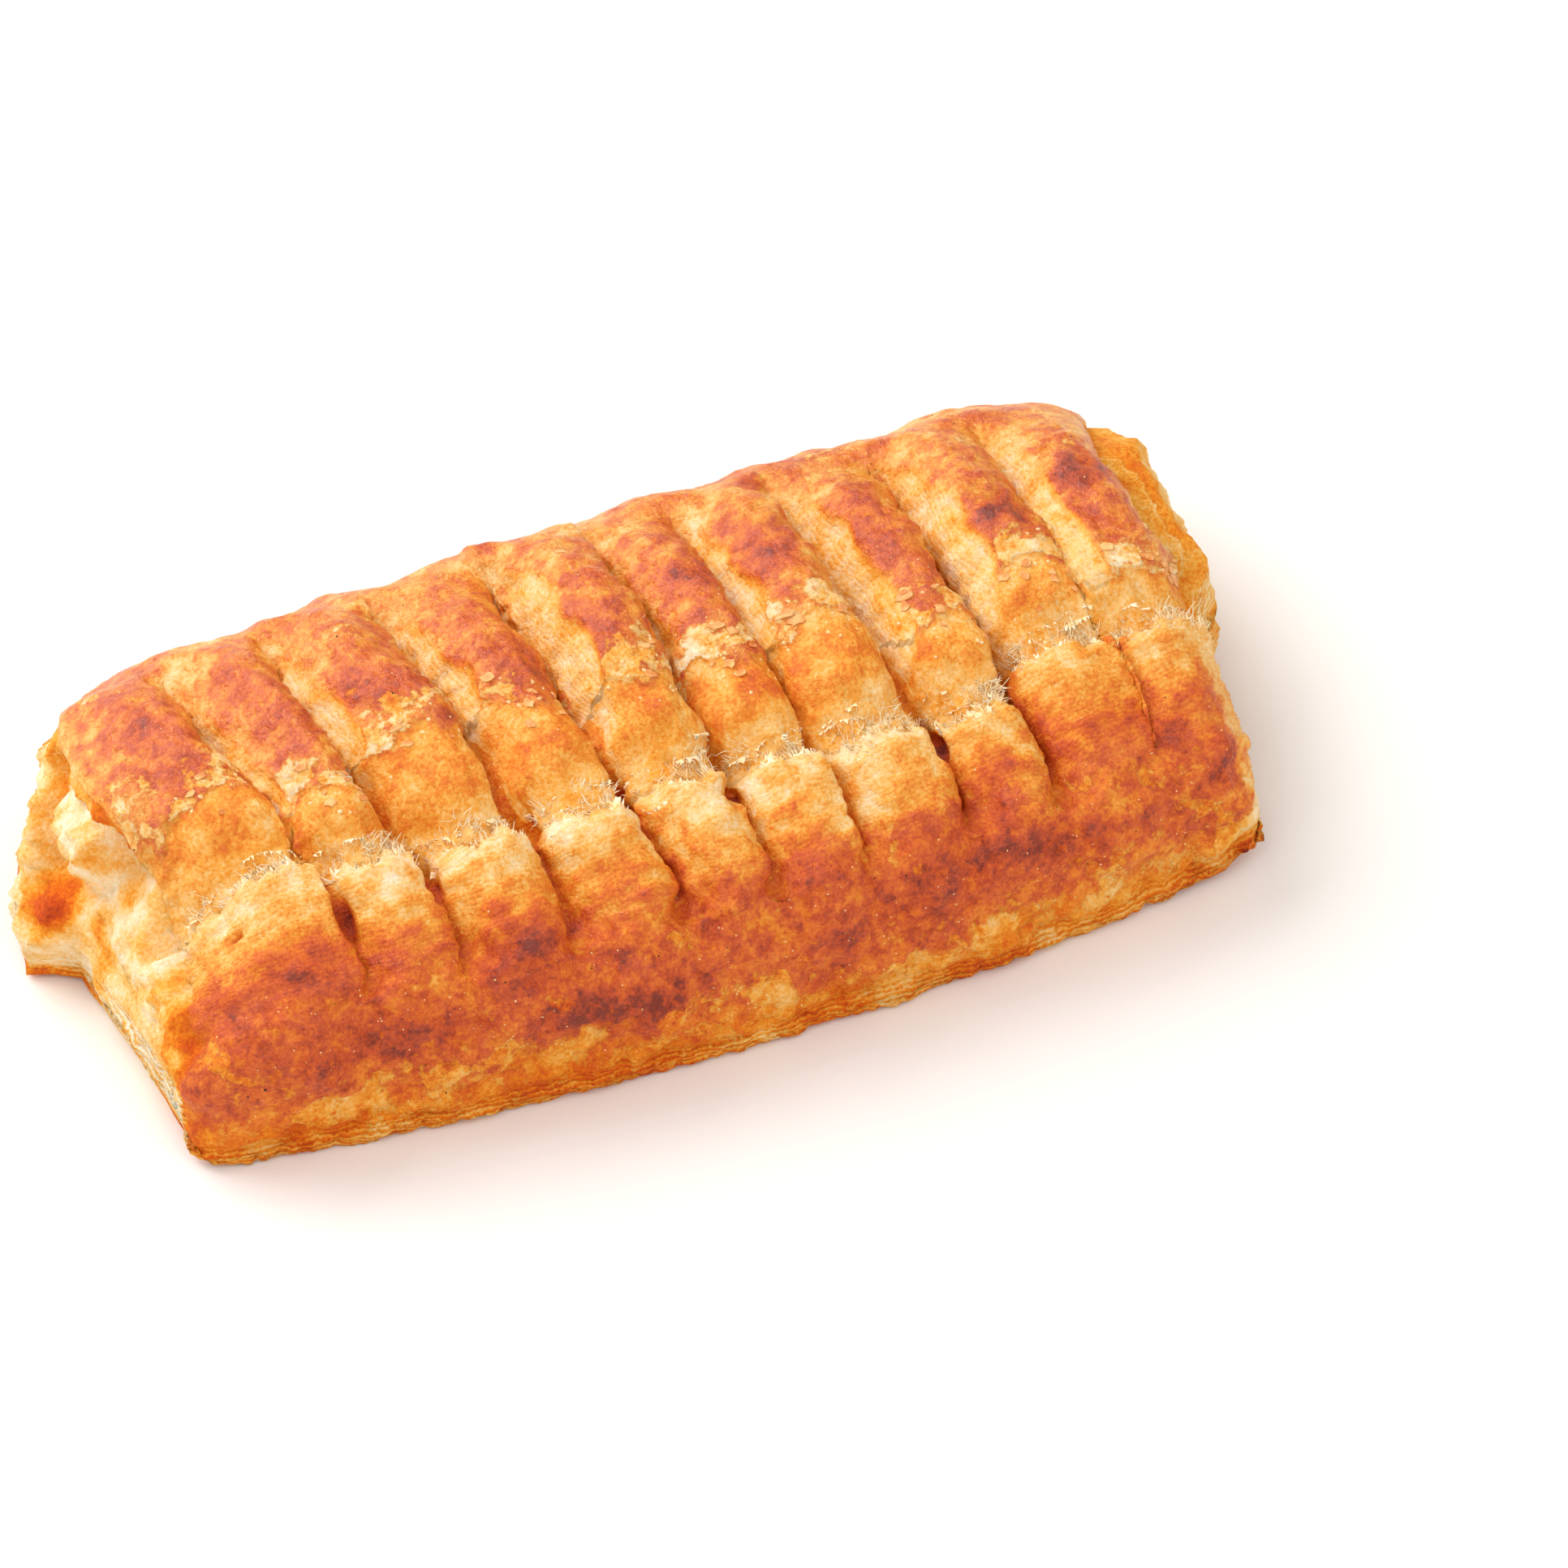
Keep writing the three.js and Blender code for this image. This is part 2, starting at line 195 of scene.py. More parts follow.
STATIONS = (
    Station("front edge", -36.1, 0.0, 3.3, -1.8, 9),
    Station("foot", -37.7, 4.0, 3.6, -1.4, 15),
    Station("belly", -38.4, 11.5, 3.8, -1.2, 15),
    Station("shoulder", -37.0, 18.8, 3.0, -1.2, 13),
    Station("slit mouth", -33.2, 24.0, 1.0, -1.2, 28),
    Station("tear", -21.0, 30.8, -3.0, -0.5, 26),
    Station("front slope", -9.0, 34.0, -3.5, -1.0, 28),
    Station("crest", 5.0, 35.0, 0.0, -3.0, 26),
    Station("slit root", 17.5, 32.2, -1.0, 0.0, 18),
    Station("spine", 25.0, 26.6, -3.6, 3.5, 18),
    Station("back", 30.8, 17.0, -7.3, 3.0, 15),
    Station("heel", 31.8, 7.0, -4.3, 2.5, 10),
    Station("back edge", 28.0, 0.0, -0.5, 2.5, 4),
    Station("tongue back", 16.0, 0.0, 6.2, 5.5, 5),
    Station("tongue side", 4.5, 0.0, 9.5, 6.0, 2),
    Station("notch", 1.2, 0.0, 3.5, 6.0, 5),
    Station("underside", -18.0, 0.0, 3.4, 3.0, 5),
)
AT = {station.name: index for index, station in enumerate(STATIONS)}

STRIPS = (
    Strip(-70.0, 0.0, 0.35, -0.3, 4.0, -4.5, 0.02),
    Strip(-54.5, 4.5, 0.9, 0.2, 1.4, -10.0, 0.14, 0.35),
    Strip(-42.0, 4.5, 1.0, 0.4, 0.4, -7.0, 0.20),
    Strip(-26.5, 3.2, 1.0, -0.8, 0.0, -6.5, 0.29),
    Strip(-12.0, 2.0, 1.15, 1.5, 0.8, -9.5, 0.36),
    Strip(2.0, 0.5, 0.9, -0.7, -0.4, -10.0, 0.12),
    Strip(13.8, 0.8, 0.9, -0.5, -1.0, -8.5, 0.22),
    Strip(27.3, 1.7, 1.1, -1.4, -1.4, -12.5, 0.34),
    Strip(41.2, -0.5, 1.25, -0.6, 2.2, -10.0, 0.36),
    Strip(55.5, 0.0, 0.8, -0.6, 1.4, -13.5, 0.26, 0.75),
    Strip(70.0, 0.0, 0.3),
)


def station_values(key: str) -> np.ndarray:
    """Return one size of every station, round the section."""
    return np.array([getattr(station, key) for station in STATIONS])


def strip_values(key: str) -> np.ndarray:
    """Return one size of every strip, from left to right."""
    return np.array([getattr(strip, key) for strip in STRIPS])


# The last strip only ends the row, with its slit's place at the right end
STRIP_COUNT = len(STRIPS) - 1
STRIP_WIDTHS = np.diff(strip_values("start"))
TEAR_Y = STATIONS[AT["tear"]].y


@dataclass
class Places:
    """Where grid points lie: arrays of one shape, in mm or as shares from 0 to 1.

    strip is the strip's number and turn the share of the way over it, t the place round the section in
    stations, y the place across the puff, opening how open the slits are there, flank how near a slit the
    point is, and behind how far behind the tear line it lies.
    """

    point: np.ndarray
    strip: np.ndarray
    turn: np.ndarray
    t: np.ndarray
    y: np.ndarray
    opening: np.ndarray
    flank: np.ndarray
    behind: np.ndarray


@dataclass
class PuffForm:
    """The baked shape: a section carried along, with slits, a torn line and two open ends. Sizes in mm."""

    strips_length: float = 140.0
    slit_depth: float = 7.2
    band_slit_depth: float = 4.2
    strip_lean: float = 0.12
    left_flank: float = 1.5
    right_flank: float = 0.9
    pleat_depth: float = 0.9
    tear_depth: float = 3.0
    tear_front_width: float = 2.2
    tear_back_width: float = 8.0
    tear_wander: float = 0.7
    skin_step: float = 0.7
    front_bow: float = 6.4
    bow_middle: float = 15.0
    bow_half_length: float = 72.0
    left_drop: float = 3.6
    right_drop: float = 2.6
    right_sink: float = 1.4
    fold_drop: float = 3.8
    right_lift: float = 1.5
    lift_length: float = 26.0
    saddle_depth: float = 3.5
    end_radius: float = 8.0
    left_inset: float = 4.2
    corner_inset: float = 0.25
    left_corner_inset: float = 0.7
    right_inset: float = 7.0
    end_fade: float = 12.0
    lump_height: float = 0.9
    foot_groove: float = 0.5
    skin_thickness: float = 2.5
    fold_thickness: float = 1.2
    band_thickness: float = 0.5
    middle_front: float = -24.0
    middle_back: float = 18.0
    middle_z: float = 13.0
    left_band_reach: float = 3.8
    left_band_slope: float = 8.5
    hollow_reach: float = -3.0
    tongue_reach: float = 9.6
    tongue_height: float = 13.5
    tongue_curl: float = 1.16
    curl_start: float = 9.0
    filling_y: float = 4.5
    filling_z: float = 20.5
    filling_half_y: float = 9.0
    filling_half_z: float = 7.5
    filling_bulge: float = 7.0
    right_band_reach: float = -1.4
    right_band_bulge: float = 0.6
    band_height: float = 24.0
    lobe_root: float = -3.2
    lobe_reach: float = 10.0
    lobe_bulge: float = 1.3
    lobe_z: float = 10.0
    lobe_height: float = 19.0
    shift: tuple[float, float, float] = (0.83, 6.275, 0.0)

    def curved(self, key: str, t: np.ndarray) -> np.ndarray:
        """Follow one size of the stations round the section as a closed Catmull-Rom curve.

        Between two stations it is b + f(slope + f(bend + f twist)), with f the share of the way and the three
        factors from the four stations around.

        Args:
            key: The size's name.
            t: The place, counted in stations.

        Returns:
            The size at each place.
        """
        values = station_values(key)
        whole = np.floor(t).astype(int)
        f = t - whole
        a, b, c, d = (values[(whole + step) % len(values)] for step in (-1, 0, 1, 2))
        slope = 0.5 * (c - a)
        bend = 0.5 * (2.0 * a - 5.0 * b + 4.0 * c - d)
        twist = 0.5 * (3.0 * b - a - 3.0 * c + d)
        return b + f * (slope + f * (bend + f * twist))

    def straight(self, key: str, t: np.ndarray) -> np.ndarray:
        """Follow one size of the stations by straight lines, for what must not overshoot.

        Args:
            key: The size's name.
            t: The place, counted in stations.

        Returns:
            The size at each place.
        """
        values = station_values(key)
        whole = np.floor(t).astype(int)
        return lerp(values[whole % len(values)], values[(whole + 1) % len(values)], t - whole)

    def section_height(self, t: np.ndarray) -> np.ndarray:
        """Return the section's height at t. The underside is flat."""
        return np.where(t >= AT["back edge"], 0.0, np.maximum(self.curved("z", t), 0.0))

    def section_normal(self, t: np.ndarray) -> tuple[np.ndarray, np.ndarray]:
        """Work out the section's outward normal, square to the way from just before a place to just after it.

        Args:
            t: The place, counted in stations.

        Returns:
            The normal's y and z parts.
        """
        step = 0.02
        before = (t - step) % len(STATIONS)
        after = (t + step) % len(STATIONS)
        y = self.section_height(before) - self.section_height(after)
        z = self.curved("y", after) - self.curved("y", before)
        length = np.maximum(np.hypot(y, z), 1e-9)
        return y / length, z / length

    def lump(self, x: np.ndarray, t: np.ndarray) -> np.ndarray:
        """Return the slow swelling of the crust: the mean of four sine waves that drift round the section."""
        waves = ((0.16, 1.9, 0.4), (0.29, -1.1, 2.1), (0.47, 2.6, 4.0), (0.22, 3.7, 5.2))
        return sum(np.sin(along * x + around * t + phase) for along, around, phase in waves) / len(waves)

    def slit_opening(self, t: np.ndarray) -> np.ndarray:
        """Work out how open the slits are: they end abruptly at the mouth and at the root.

        Args:
            t: The place, counted in stations.

        Returns:
            The share, from 0 where there is no slit to 1.
        """
        mouth = smoothstep(t, AT["slit mouth"] - 0.35, AT["slit mouth"] + 0.2)
        root = smoothstep(t, AT["slit root"] - 0.2, AT["slit root"] + 0.4)
        return mouth * (1.0 - root)

    def slit_depth_at(self, t: np.ndarray) -> np.ndarray:
        """Work out a slit's depth: shallow by the band, deepest over the crest, a little less at the root.

        Args:
            t: The place, counted in stations.

        Returns:
            The depth in mm.
        """
        rise = smoothstep(t, AT["tear"] - 0.2, AT["tear"] + 1.1)
        depth = lerp(self.band_slit_depth, self.slit_depth, rise)
        return depth * (1.0 - 0.3 * smoothstep(t, AT["crest"], AT["slit root"]))

    def tear_depth_at(self, behind: np.ndarray) -> np.ndarray:
        """Return the torn valley's depth behind the tear line: steep in front of it and gentle behind."""
        width = np.where(behind < 0.0, self.tear_front_width, self.tear_back_width)
        return self.tear_depth * (1.0 - smoothstep(np.abs(behind) / width, 0.0, 1.0))

    def wander(self, x: np.ndarray) -> np.ndarray:
        """Return how far the torn edge wanders at x, before it is scaled: three sine waves."""
        return 0.5 * np.sin(0.9 * x + 0.7) + 0.35 * np.sin(2.1 * x + 2.0) + 0.25 * np.sin(4.3 * x)

    def saddle(self, x: np.ndarray, y: np.ndarray) -> np.ndarray:
        """Return how far the top sinks behind the left end of the band."""
        across = smoothstep(y, -31.0, -21.0) * (1.0 - smoothstep(y, -8.0, 1.0))
        return self.saddle_depth * smoothstep(-x, 57.0, 70.0) * across

    def drift_share(self, t: np.ndarray, y: np.ndarray, z: np.ndarray) -> np.ndarray:
        """Return how much of its drift a slit has made: none behind the crest, all of it down at the band."""
        return np.clip((5.0 - y) / 38.0, 0.0, 1.0) * (t > AT["belly"]) * smoothstep(z, 8.0, 20.0)

    def end_inset(self, x: np.ndarray, y: np.ndarray, z: np.ndarray) -> np.ndarray:
        """Work out how far the rounded ends draw the surface in: a quarter circle, sharper low and behind.

        Args:
            x: The place along the puff.
            y: The place across the section.
            z: The height in the section.

        Returns:
            The inset in mm.
        """
        from_end = self.strips_length / 2.0 - np.abs(x)
        turned = np.clip(1.0 - from_end / self.end_radius, 0.0, 1.0)
        corner = np.where(x < 0.0, self.left_corner_inset, self.corner_inset)
        crisp = lerp(corner, 1.0, smoothstep(z, 0.0, 12.0)) * lerp(0.3, 1.0, smoothstep(-y, 0.0, 25.0))
        inset = np.where(x < 0.0, self.left_inset, self.right_inset)
        return inset * crisp * (1.0 - np.sqrt(1.0 - turned**2))

    def sinking(self, x: np.ndarray, y: np.ndarray) -> np.ndarray:
        """Work out how far the top sinks: at both ends, to the right, behind the band and at the right fold.

        Args:
            x: The place along the puff.
            y: The place across the section.

        Returns:
            The drop in mm.
        """
        half = self.strips_length / 2.0
        sunk = np.where(x < 0.0, self.left_drop, self.right_drop) * (np.abs(x) / half) ** 5
        sunk = sunk + self.right_sink * smoothstep(x, 0.0, 60.0) + self.saddle(x, y)
        return sunk + self.fold_drop * smoothstep(x, 56.0, 72.0) * smoothstep(y, 10.0, 24.0)

    def lifting(self, x: np.ndarray) -> np.ndarray:
        """Return how far the foot lifts off the table towards the right end."""
        half = self.strips_length / 2.0
        return self.right_lift * smoothstep(x, half - self.lift_length, half)

    def bow(self, x: np.ndarray, y: np.ndarray) -> np.ndarray:
        """Return how far the front bows out: a parabola along the puff that fades towards the middle."""
        bow = self.front_bow * (1.0 - ((x - self.bow_middle) / self.bow_half_length) ** 2)
        return bow * smoothstep(-y, 5.0, 36.0)

    def body(self, strip: np.ndarray, turn: np.ndarray, t: np.ndarray) -> Places:
        """Work out points on the sides, the top and the underside.

        The section's point at t is pushed out along its normal by the lumps, and in by the slits, the tear
        and the rounded ends. Then the front bows out, the top sinks, and each end reaches out by its
        station's value.

        Args:
            strip: The strip's number, from 0 on the left.
            turn: The share of the way over the strip, from its left slit to its right one.
            t: The place round the section, counted in stations.

        Returns:
            The points, and where on the puff each lies.
        """
        start, swing, depth, crest, tear, shut = (
            strip_values(key) for key in ("start", "swing", "depth", "crest", "tear", "shut")
        )
        y, z = self.curved("y", t), self.section_height(t)
        normal_y, normal_z = self.section_normal(t)
        opening = self.slit_opening(t)
        crown = np.sin(np.pi * turn)
        bent = 0.5 * (1.0 - np.cos(np.pi * turn)) + self.strip_lean * crown
        drift = self.drift_share(t, y, z)
        left_x = start[strip] + swing[strip] * drift
        right_x = start[strip + 1] + swing[strip + 1] * drift
        x = lerp(left_x, right_x, lerp(turn, bent, opening))
        flank = 1.0 - crown ** np.where(turn < 0.5, self.left_flank, self.right_flank)
        closed = smoothstep(-y, -6.0, 5.0)
        left_depth = depth[strip] * (1.0 - shut[strip] * closed)
        right_depth = depth[strip + 1] * (1.0 - shut[strip + 1] * closed)
        share = lerp(left_depth, right_depth, turn)
        slit = opening * self.slit_depth_at(t) * share * flank
        below = smoothstep(t, AT["belly"], AT["slit mouth"]) * (1.0 - opening) * (t < AT["tear"])
        pleat = self.pleat_depth * below * share * flank
        behind = y - TEAR_Y - tear[strip] - self.tear_wander * self.wander(x)
        upper = smoothstep(t, AT["tear"], AT["tear"] + 1.0)
        upper = upper * (1.0 - smoothstep(t, AT["slit root"], AT["spine"]))
        drop = slit + pleat + opening * self.tear_depth_at(behind) - upper * crest[strip]
        swell = self.lump_height * self.lump(x, t) * smoothstep(z, 0.0, 8.0)
        groove = np.where(y < 0.0, self.foot_groove * bell(z, 3.0, 0.6), 0.0)
        out = swell - drop - self.end_inset(x, y, z) - groove
        high = smoothstep(z, 6.0, 28.0)
        from_end = self.strips_length / 2.0 - np.abs(x)
        reach = np.where(x < 0.0, self.straight("left", t), self.straight("right", t))
        beyond = reach * np.exp(-from_end / self.end_fade)
        moved_x = x + np.where(x < 0.0, -1.0, 1.0) * beyond
        moved_y = y + normal_y * out - self.bow(x, y)
        moved_z = z + normal_z * out - self.sinking(x, y) * high + self.lifting(x) * (1.0 - high)
        point = np.stack([moved_x, moved_y, moved_z], axis=-1)
        return Places(point, strip, turn, t, y, opening, flank, behind)

    def left_edge(self, y: np.ndarray) -> np.ndarray:
        """Return how high the band's pale layers stand on the left end face, before the skin rolls over."""
        return lerp(4.0, 9.0, np.clip((-y - 3.0) / 12.0, 0.0, 1.0))

    def filling_ball(self, y: np.ndarray, z: np.ndarray) -> np.ndarray:
        """Return 1 in the middle of the soft filling on the left end face, 0 on its rim, and less beyond."""
        across = ((y - self.filling_y) / self.filling_half_y) ** 2
        return 1.0 - across - ((z - self.filling_z) / self.filling_half_z) ** 2

    def left_reach(self, y: np.ndarray, z: np.ndarray) -> np.ndarray:
        """Work out how far the left end face reaches beyond the strips.

        In front it is the band's stacked layers with the skin rolling over them, sloping down to a notch.
        Behind the notch the bottom sheet flares out as a low rounded tongue. It curls up towards the spine
        as a thin wall, round a hollow with the soft filling bulging out of it: a half ball, pressed a little
        flat.

        Args:
            y: The place across the face.
            z: The height on the face.

        Returns:
            The reach in mm.
        """
        back = np.maximum(y - self.curl_start, 0.0)
        over = np.clip((z - self.left_edge(y)) / 17.0, 0.0, 1.4)
        band = self.left_band_reach - self.left_band_slope * over**2
        flare = self.tongue_reach - (0.54 + 0.02 * z) * back
        width = lerp(9.0, 4.0, smoothstep(y, 7.0, 14.0))
        below = np.clip((self.tongue_height + self.tongue_curl * back - z) / width, 0.0, 1.0)
        sheet = lerp(self.hollow_reach, flare, np.sqrt(1.0 - (1.0 - below) ** 2))
        bulge = np.maximum(self.filling_ball(y, z), 0.0) ** 0.75
        filling = self.hollow_reach + self.filling_bulge * bulge
        behind = smoothstep((y + 0.12 * z) / 4.6, 0.2, 1.0)
        return lerp(band, np.logaddexp(sheet, filling), behind)

    def right_reach(self, y: np.ndarray, z: np.ndarray) -> np.ndarray:
        """Work out the same for the right end, where the fold bulges below the last strip as a smooth lobe.

        Args:
            y: The place across the face.
            z: The height on the face.

        Returns:
            The reach in mm.
        """
        arch = np.sin(np.pi * np.clip(z, 0.0, self.band_height) / self.band_height)
        band = self.right_band_reach + self.right_band_bulge * arch
        low = self.lobe_reach + self.lobe_bulge * bell(y, 13.0, 7.0) - 0.28 * np.maximum(y - 12.0, 0.0)
        over = np.clip((z - self.lobe_z) / self.lobe_height, 0.0, 1.0)
        lobe = self.lobe_root + low * np.sqrt(1.0 - over**2)
        return lerp(band, lobe, smoothstep(y, -19.0, -8.0))

    def reach(self, side: int, y: np.ndarray, z: np.ndarray) -> np.ndarray:
        """Return an end face's reach: side is -1 for the left end and 1 for the right."""
        return self.left_reach(y, z) if side < 0 else self.right_reach(y, z)

    def rim_thickness(self, side: int, y: np.ndarray) -> np.ndarray:
        """Return how far in from the rim an end face keeps to it: hardly where the skin rolls over it."""
        thick = smoothstep(y, -6.0, 3.0) * (side < 0)
        rolled = lerp(self.band_thickness, self.skin_thickness, thick)
        return lerp(rolled, self.fold_thickness, smoothstep(y, 8.0, 18.0))

    def face(
        self, side: int, depth: np.ndarray, share: np.ndarray, t: np.ndarray
    ) -> tuple[np.ndarray, np.ndarray]:
        """Work out points on an end face.

        A point goes from the rim towards the face's middle line by depth, and then by share of what is left.
        Its reach blends from the rim's own to the face's over one rim thickness.

        Args:
            side: -1 for the left end and 1 for the right.
            depth: The way in from the rim in mm.
            share: The share of the way left from there to the middle line.
            t: The rim point's place, counted in stations.

        Returns:
            The points, and how far in from the rim each lies, in mm.
        """
        strip = np.full(t.shape, 0 if side < 0 else STRIP_COUNT - 1)
        rim = self.body(strip, np.full(t.shape, 0.0 if side < 0 else 1.0), t).point
        middle_y = np.clip(self.curved("y", t), self.middle_front, self.middle_back)
        way = np.hypot(middle_y - rim[..., 1], self.middle_z - rim[..., 2])
        part = lerp(depth / way, 1.0, share)
        y = lerp(rim[..., 1], middle_y, part)
        z = lerp(rim[..., 2], self.middle_z, part)
        thickness = self.rim_thickness(side, self.curved("y", t))
        inside = smoothstep(part * way / thickness, 1.0, 2.0)
        out = lerp(np.abs(rim[..., 0]), self.strips_length / 2.0 + self.reach(side, y, z), inside)
        return np.stack([side * out, y, z], axis=-1), part * way


def srgb(colour: str) -> tuple[float, float, float, float]:
    """Turn a colour into what a shader takes.

    Args:
        colour: The sRGB colour in hex.

    Returns:
        Linear red, green and blue, and an alpha of 1.
    """
    parts = np.array([int(colour[k : k + 2], 16) for k in (1, 3, 5)]) / 255.0
    linear = np.where(parts <= 0.04045, parts / 12.92, ((parts + 0.055) / 1.055) ** 2.4)
    return (*linear.tolist(), 1.0)


class Kind(Enum):
    """The kinds of shader node that a recipe lists."""

    FIELD = "ShaderNodeAttribute"
    NOISE = "ShaderNodeTexNoise"
    CELLS = "ShaderNodeTexVoronoi"
    VECTOR = "ShaderNodeVectorMath"
    MATH = "ShaderNodeMath"
    RANGE = "ShaderNodeMapRange"


Recipe = list[tuple[str, Kind, dict, dict]]


def set_inputs(tree: bpy.types.NodeTree, node: bpy.types.Node, inputs: dict) -> None:
    """Give a node its inputs.

    Args:
        tree: The node tree.
        node: The node.
        inputs: Sockets by name or number, each with a value or with another node's output to link.
    """
    for name, value in inputs.items():
        if isinstance(value, bpy.types.NodeSocket):
            tree.links.new(value, node.inputs[name])
        else:
            node.inputs[name].default_value = value


def add_node(
    tree: bpy.types.NodeTree, kind: str, inputs: dict | None = None, **settings: object
) -> bpy.types.Node:
    """Add one shader node.

    Args:
        tree: The material's node tree.
        kind: The node's type.
        inputs: Sockets by name or number, each with a value or with another node's output to link.
        settings: The node's own properties.

    Returns:
        The node.
    """
    node = tree.nodes.new(kind)
    for name, value in settings.items():
        setattr(node, name, value)
    set_inputs(tree, node, inputs or {})
    return node


def follow(tree: bpy.types.NodeTree, recipe: Recipe) -> dict:
    """Add a recipe's nodes one after another.

    Args:
        tree: The material's node tree.
        recipe: Each node's name, kind, settings and inputs. An input given as a name is that node's result.

    Returns:
        Each node's result by name. "place" is the place on the object.
    """
    made = {"place": add_node(tree, "ShaderNodeTexCoord").outputs["Object"]}
    for name, kind, settings, inputs in recipe:
        linked = {key: made[value] if isinstance(value, str) else value for key, value in inputs.items()}
        outputs = add_node(tree, kind.value, linked, **settings).outputs
        made[name] = outputs["Fac"] if "Fac" in outputs else outputs[0]
    return made


def new_material(name: str) -> tuple[bpy.types.Material, bpy.types.NodeTree, bpy.types.Node]:
    """Make a material that has only its shader.

    Args:
        name: What the material is.

    Returns:
        The material, its node tree and its shader.
    """
    material = bpy.data.materials.new(name)
    material.use_nodes = True
    return material, material.node_tree, material.node_tree.nodes["Principled BSDF"]


def set_colours(ramp: bpy.types.Node, tones: tuple[tuple[float, str], ...]) -> None:
    """Give a new colour ramp, which has two stops, all its stops.

    Args:
        ramp: The ramp's node.
        tones: Each stop's place from 0 to 1 and its sRGB colour.
    """
    stops = ramp.color_ramp.elements
    for position, _ in tones[2:]:
        stops.new(position)
    for stop, (position, colour) in zip(stops, tones):
        stop.position = position
        stop.color = srgb(colour)


def make_piece(
    name: str,
    points: np.ndarray,
    faces: list[np.ndarray],
    material: bpy.types.Material,
    fields: dict[str, np.ndarray] | None = None,
) -> bpy.types.Object:
    """Make one finished piece that rides on the pastry.

    Args:
        name: The piece's name.
        points: Vertices in mm, in the shape's own frame.
        faces: Arrays of vertex numbers, each with faces of one size.
        material: Its finish.
        fields: Numbers on the vertices that the finish reads, by name.

    Returns:
        The object, at the origin, with its place in its mesh.
    """
    mesh = bpy.data.meshes.new(name)
    placed = (points.reshape(-1, 3) + np.array(PuffForm.shift)) * MM
    mesh.vertices.add(len(placed))
    mesh.vertices.foreach_set("co", placed.astype(np.float32).ravel())
    corners = np.concatenate([group.ravel() for group in faces])
    sizes = np.concatenate([np.full(len(group), group.shape[1]) for group in faces])
    mesh.loops.add(len(corners))
    mesh.loops.foreach_set("vertex_index", corners.astype(np.int32))
    mesh.polygons.add(len(sizes))
    mesh.polygons.foreach_set("loop_start", (np.cumsum(sizes) - sizes).astype(np.int32))
    mesh.update(calc_edges=True)
    mesh.validate()
    mesh.shade_smooth()
    for key, values in (fields or {}).items():
        field = mesh.attributes.new(key, "FLOAT", "POINT")
        field.data.foreach_set("value", values.astype(np.float32).ravel())
    mesh.materials.append(material)
    piece = bpy.data.objects.new(name, mesh)
    bpy.context.scene.collection.objects.link(piece)
    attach(piece, BODY)
    log.info("%s: %d vertices, %d faces", name, len(placed), len(sizes))
    return piece


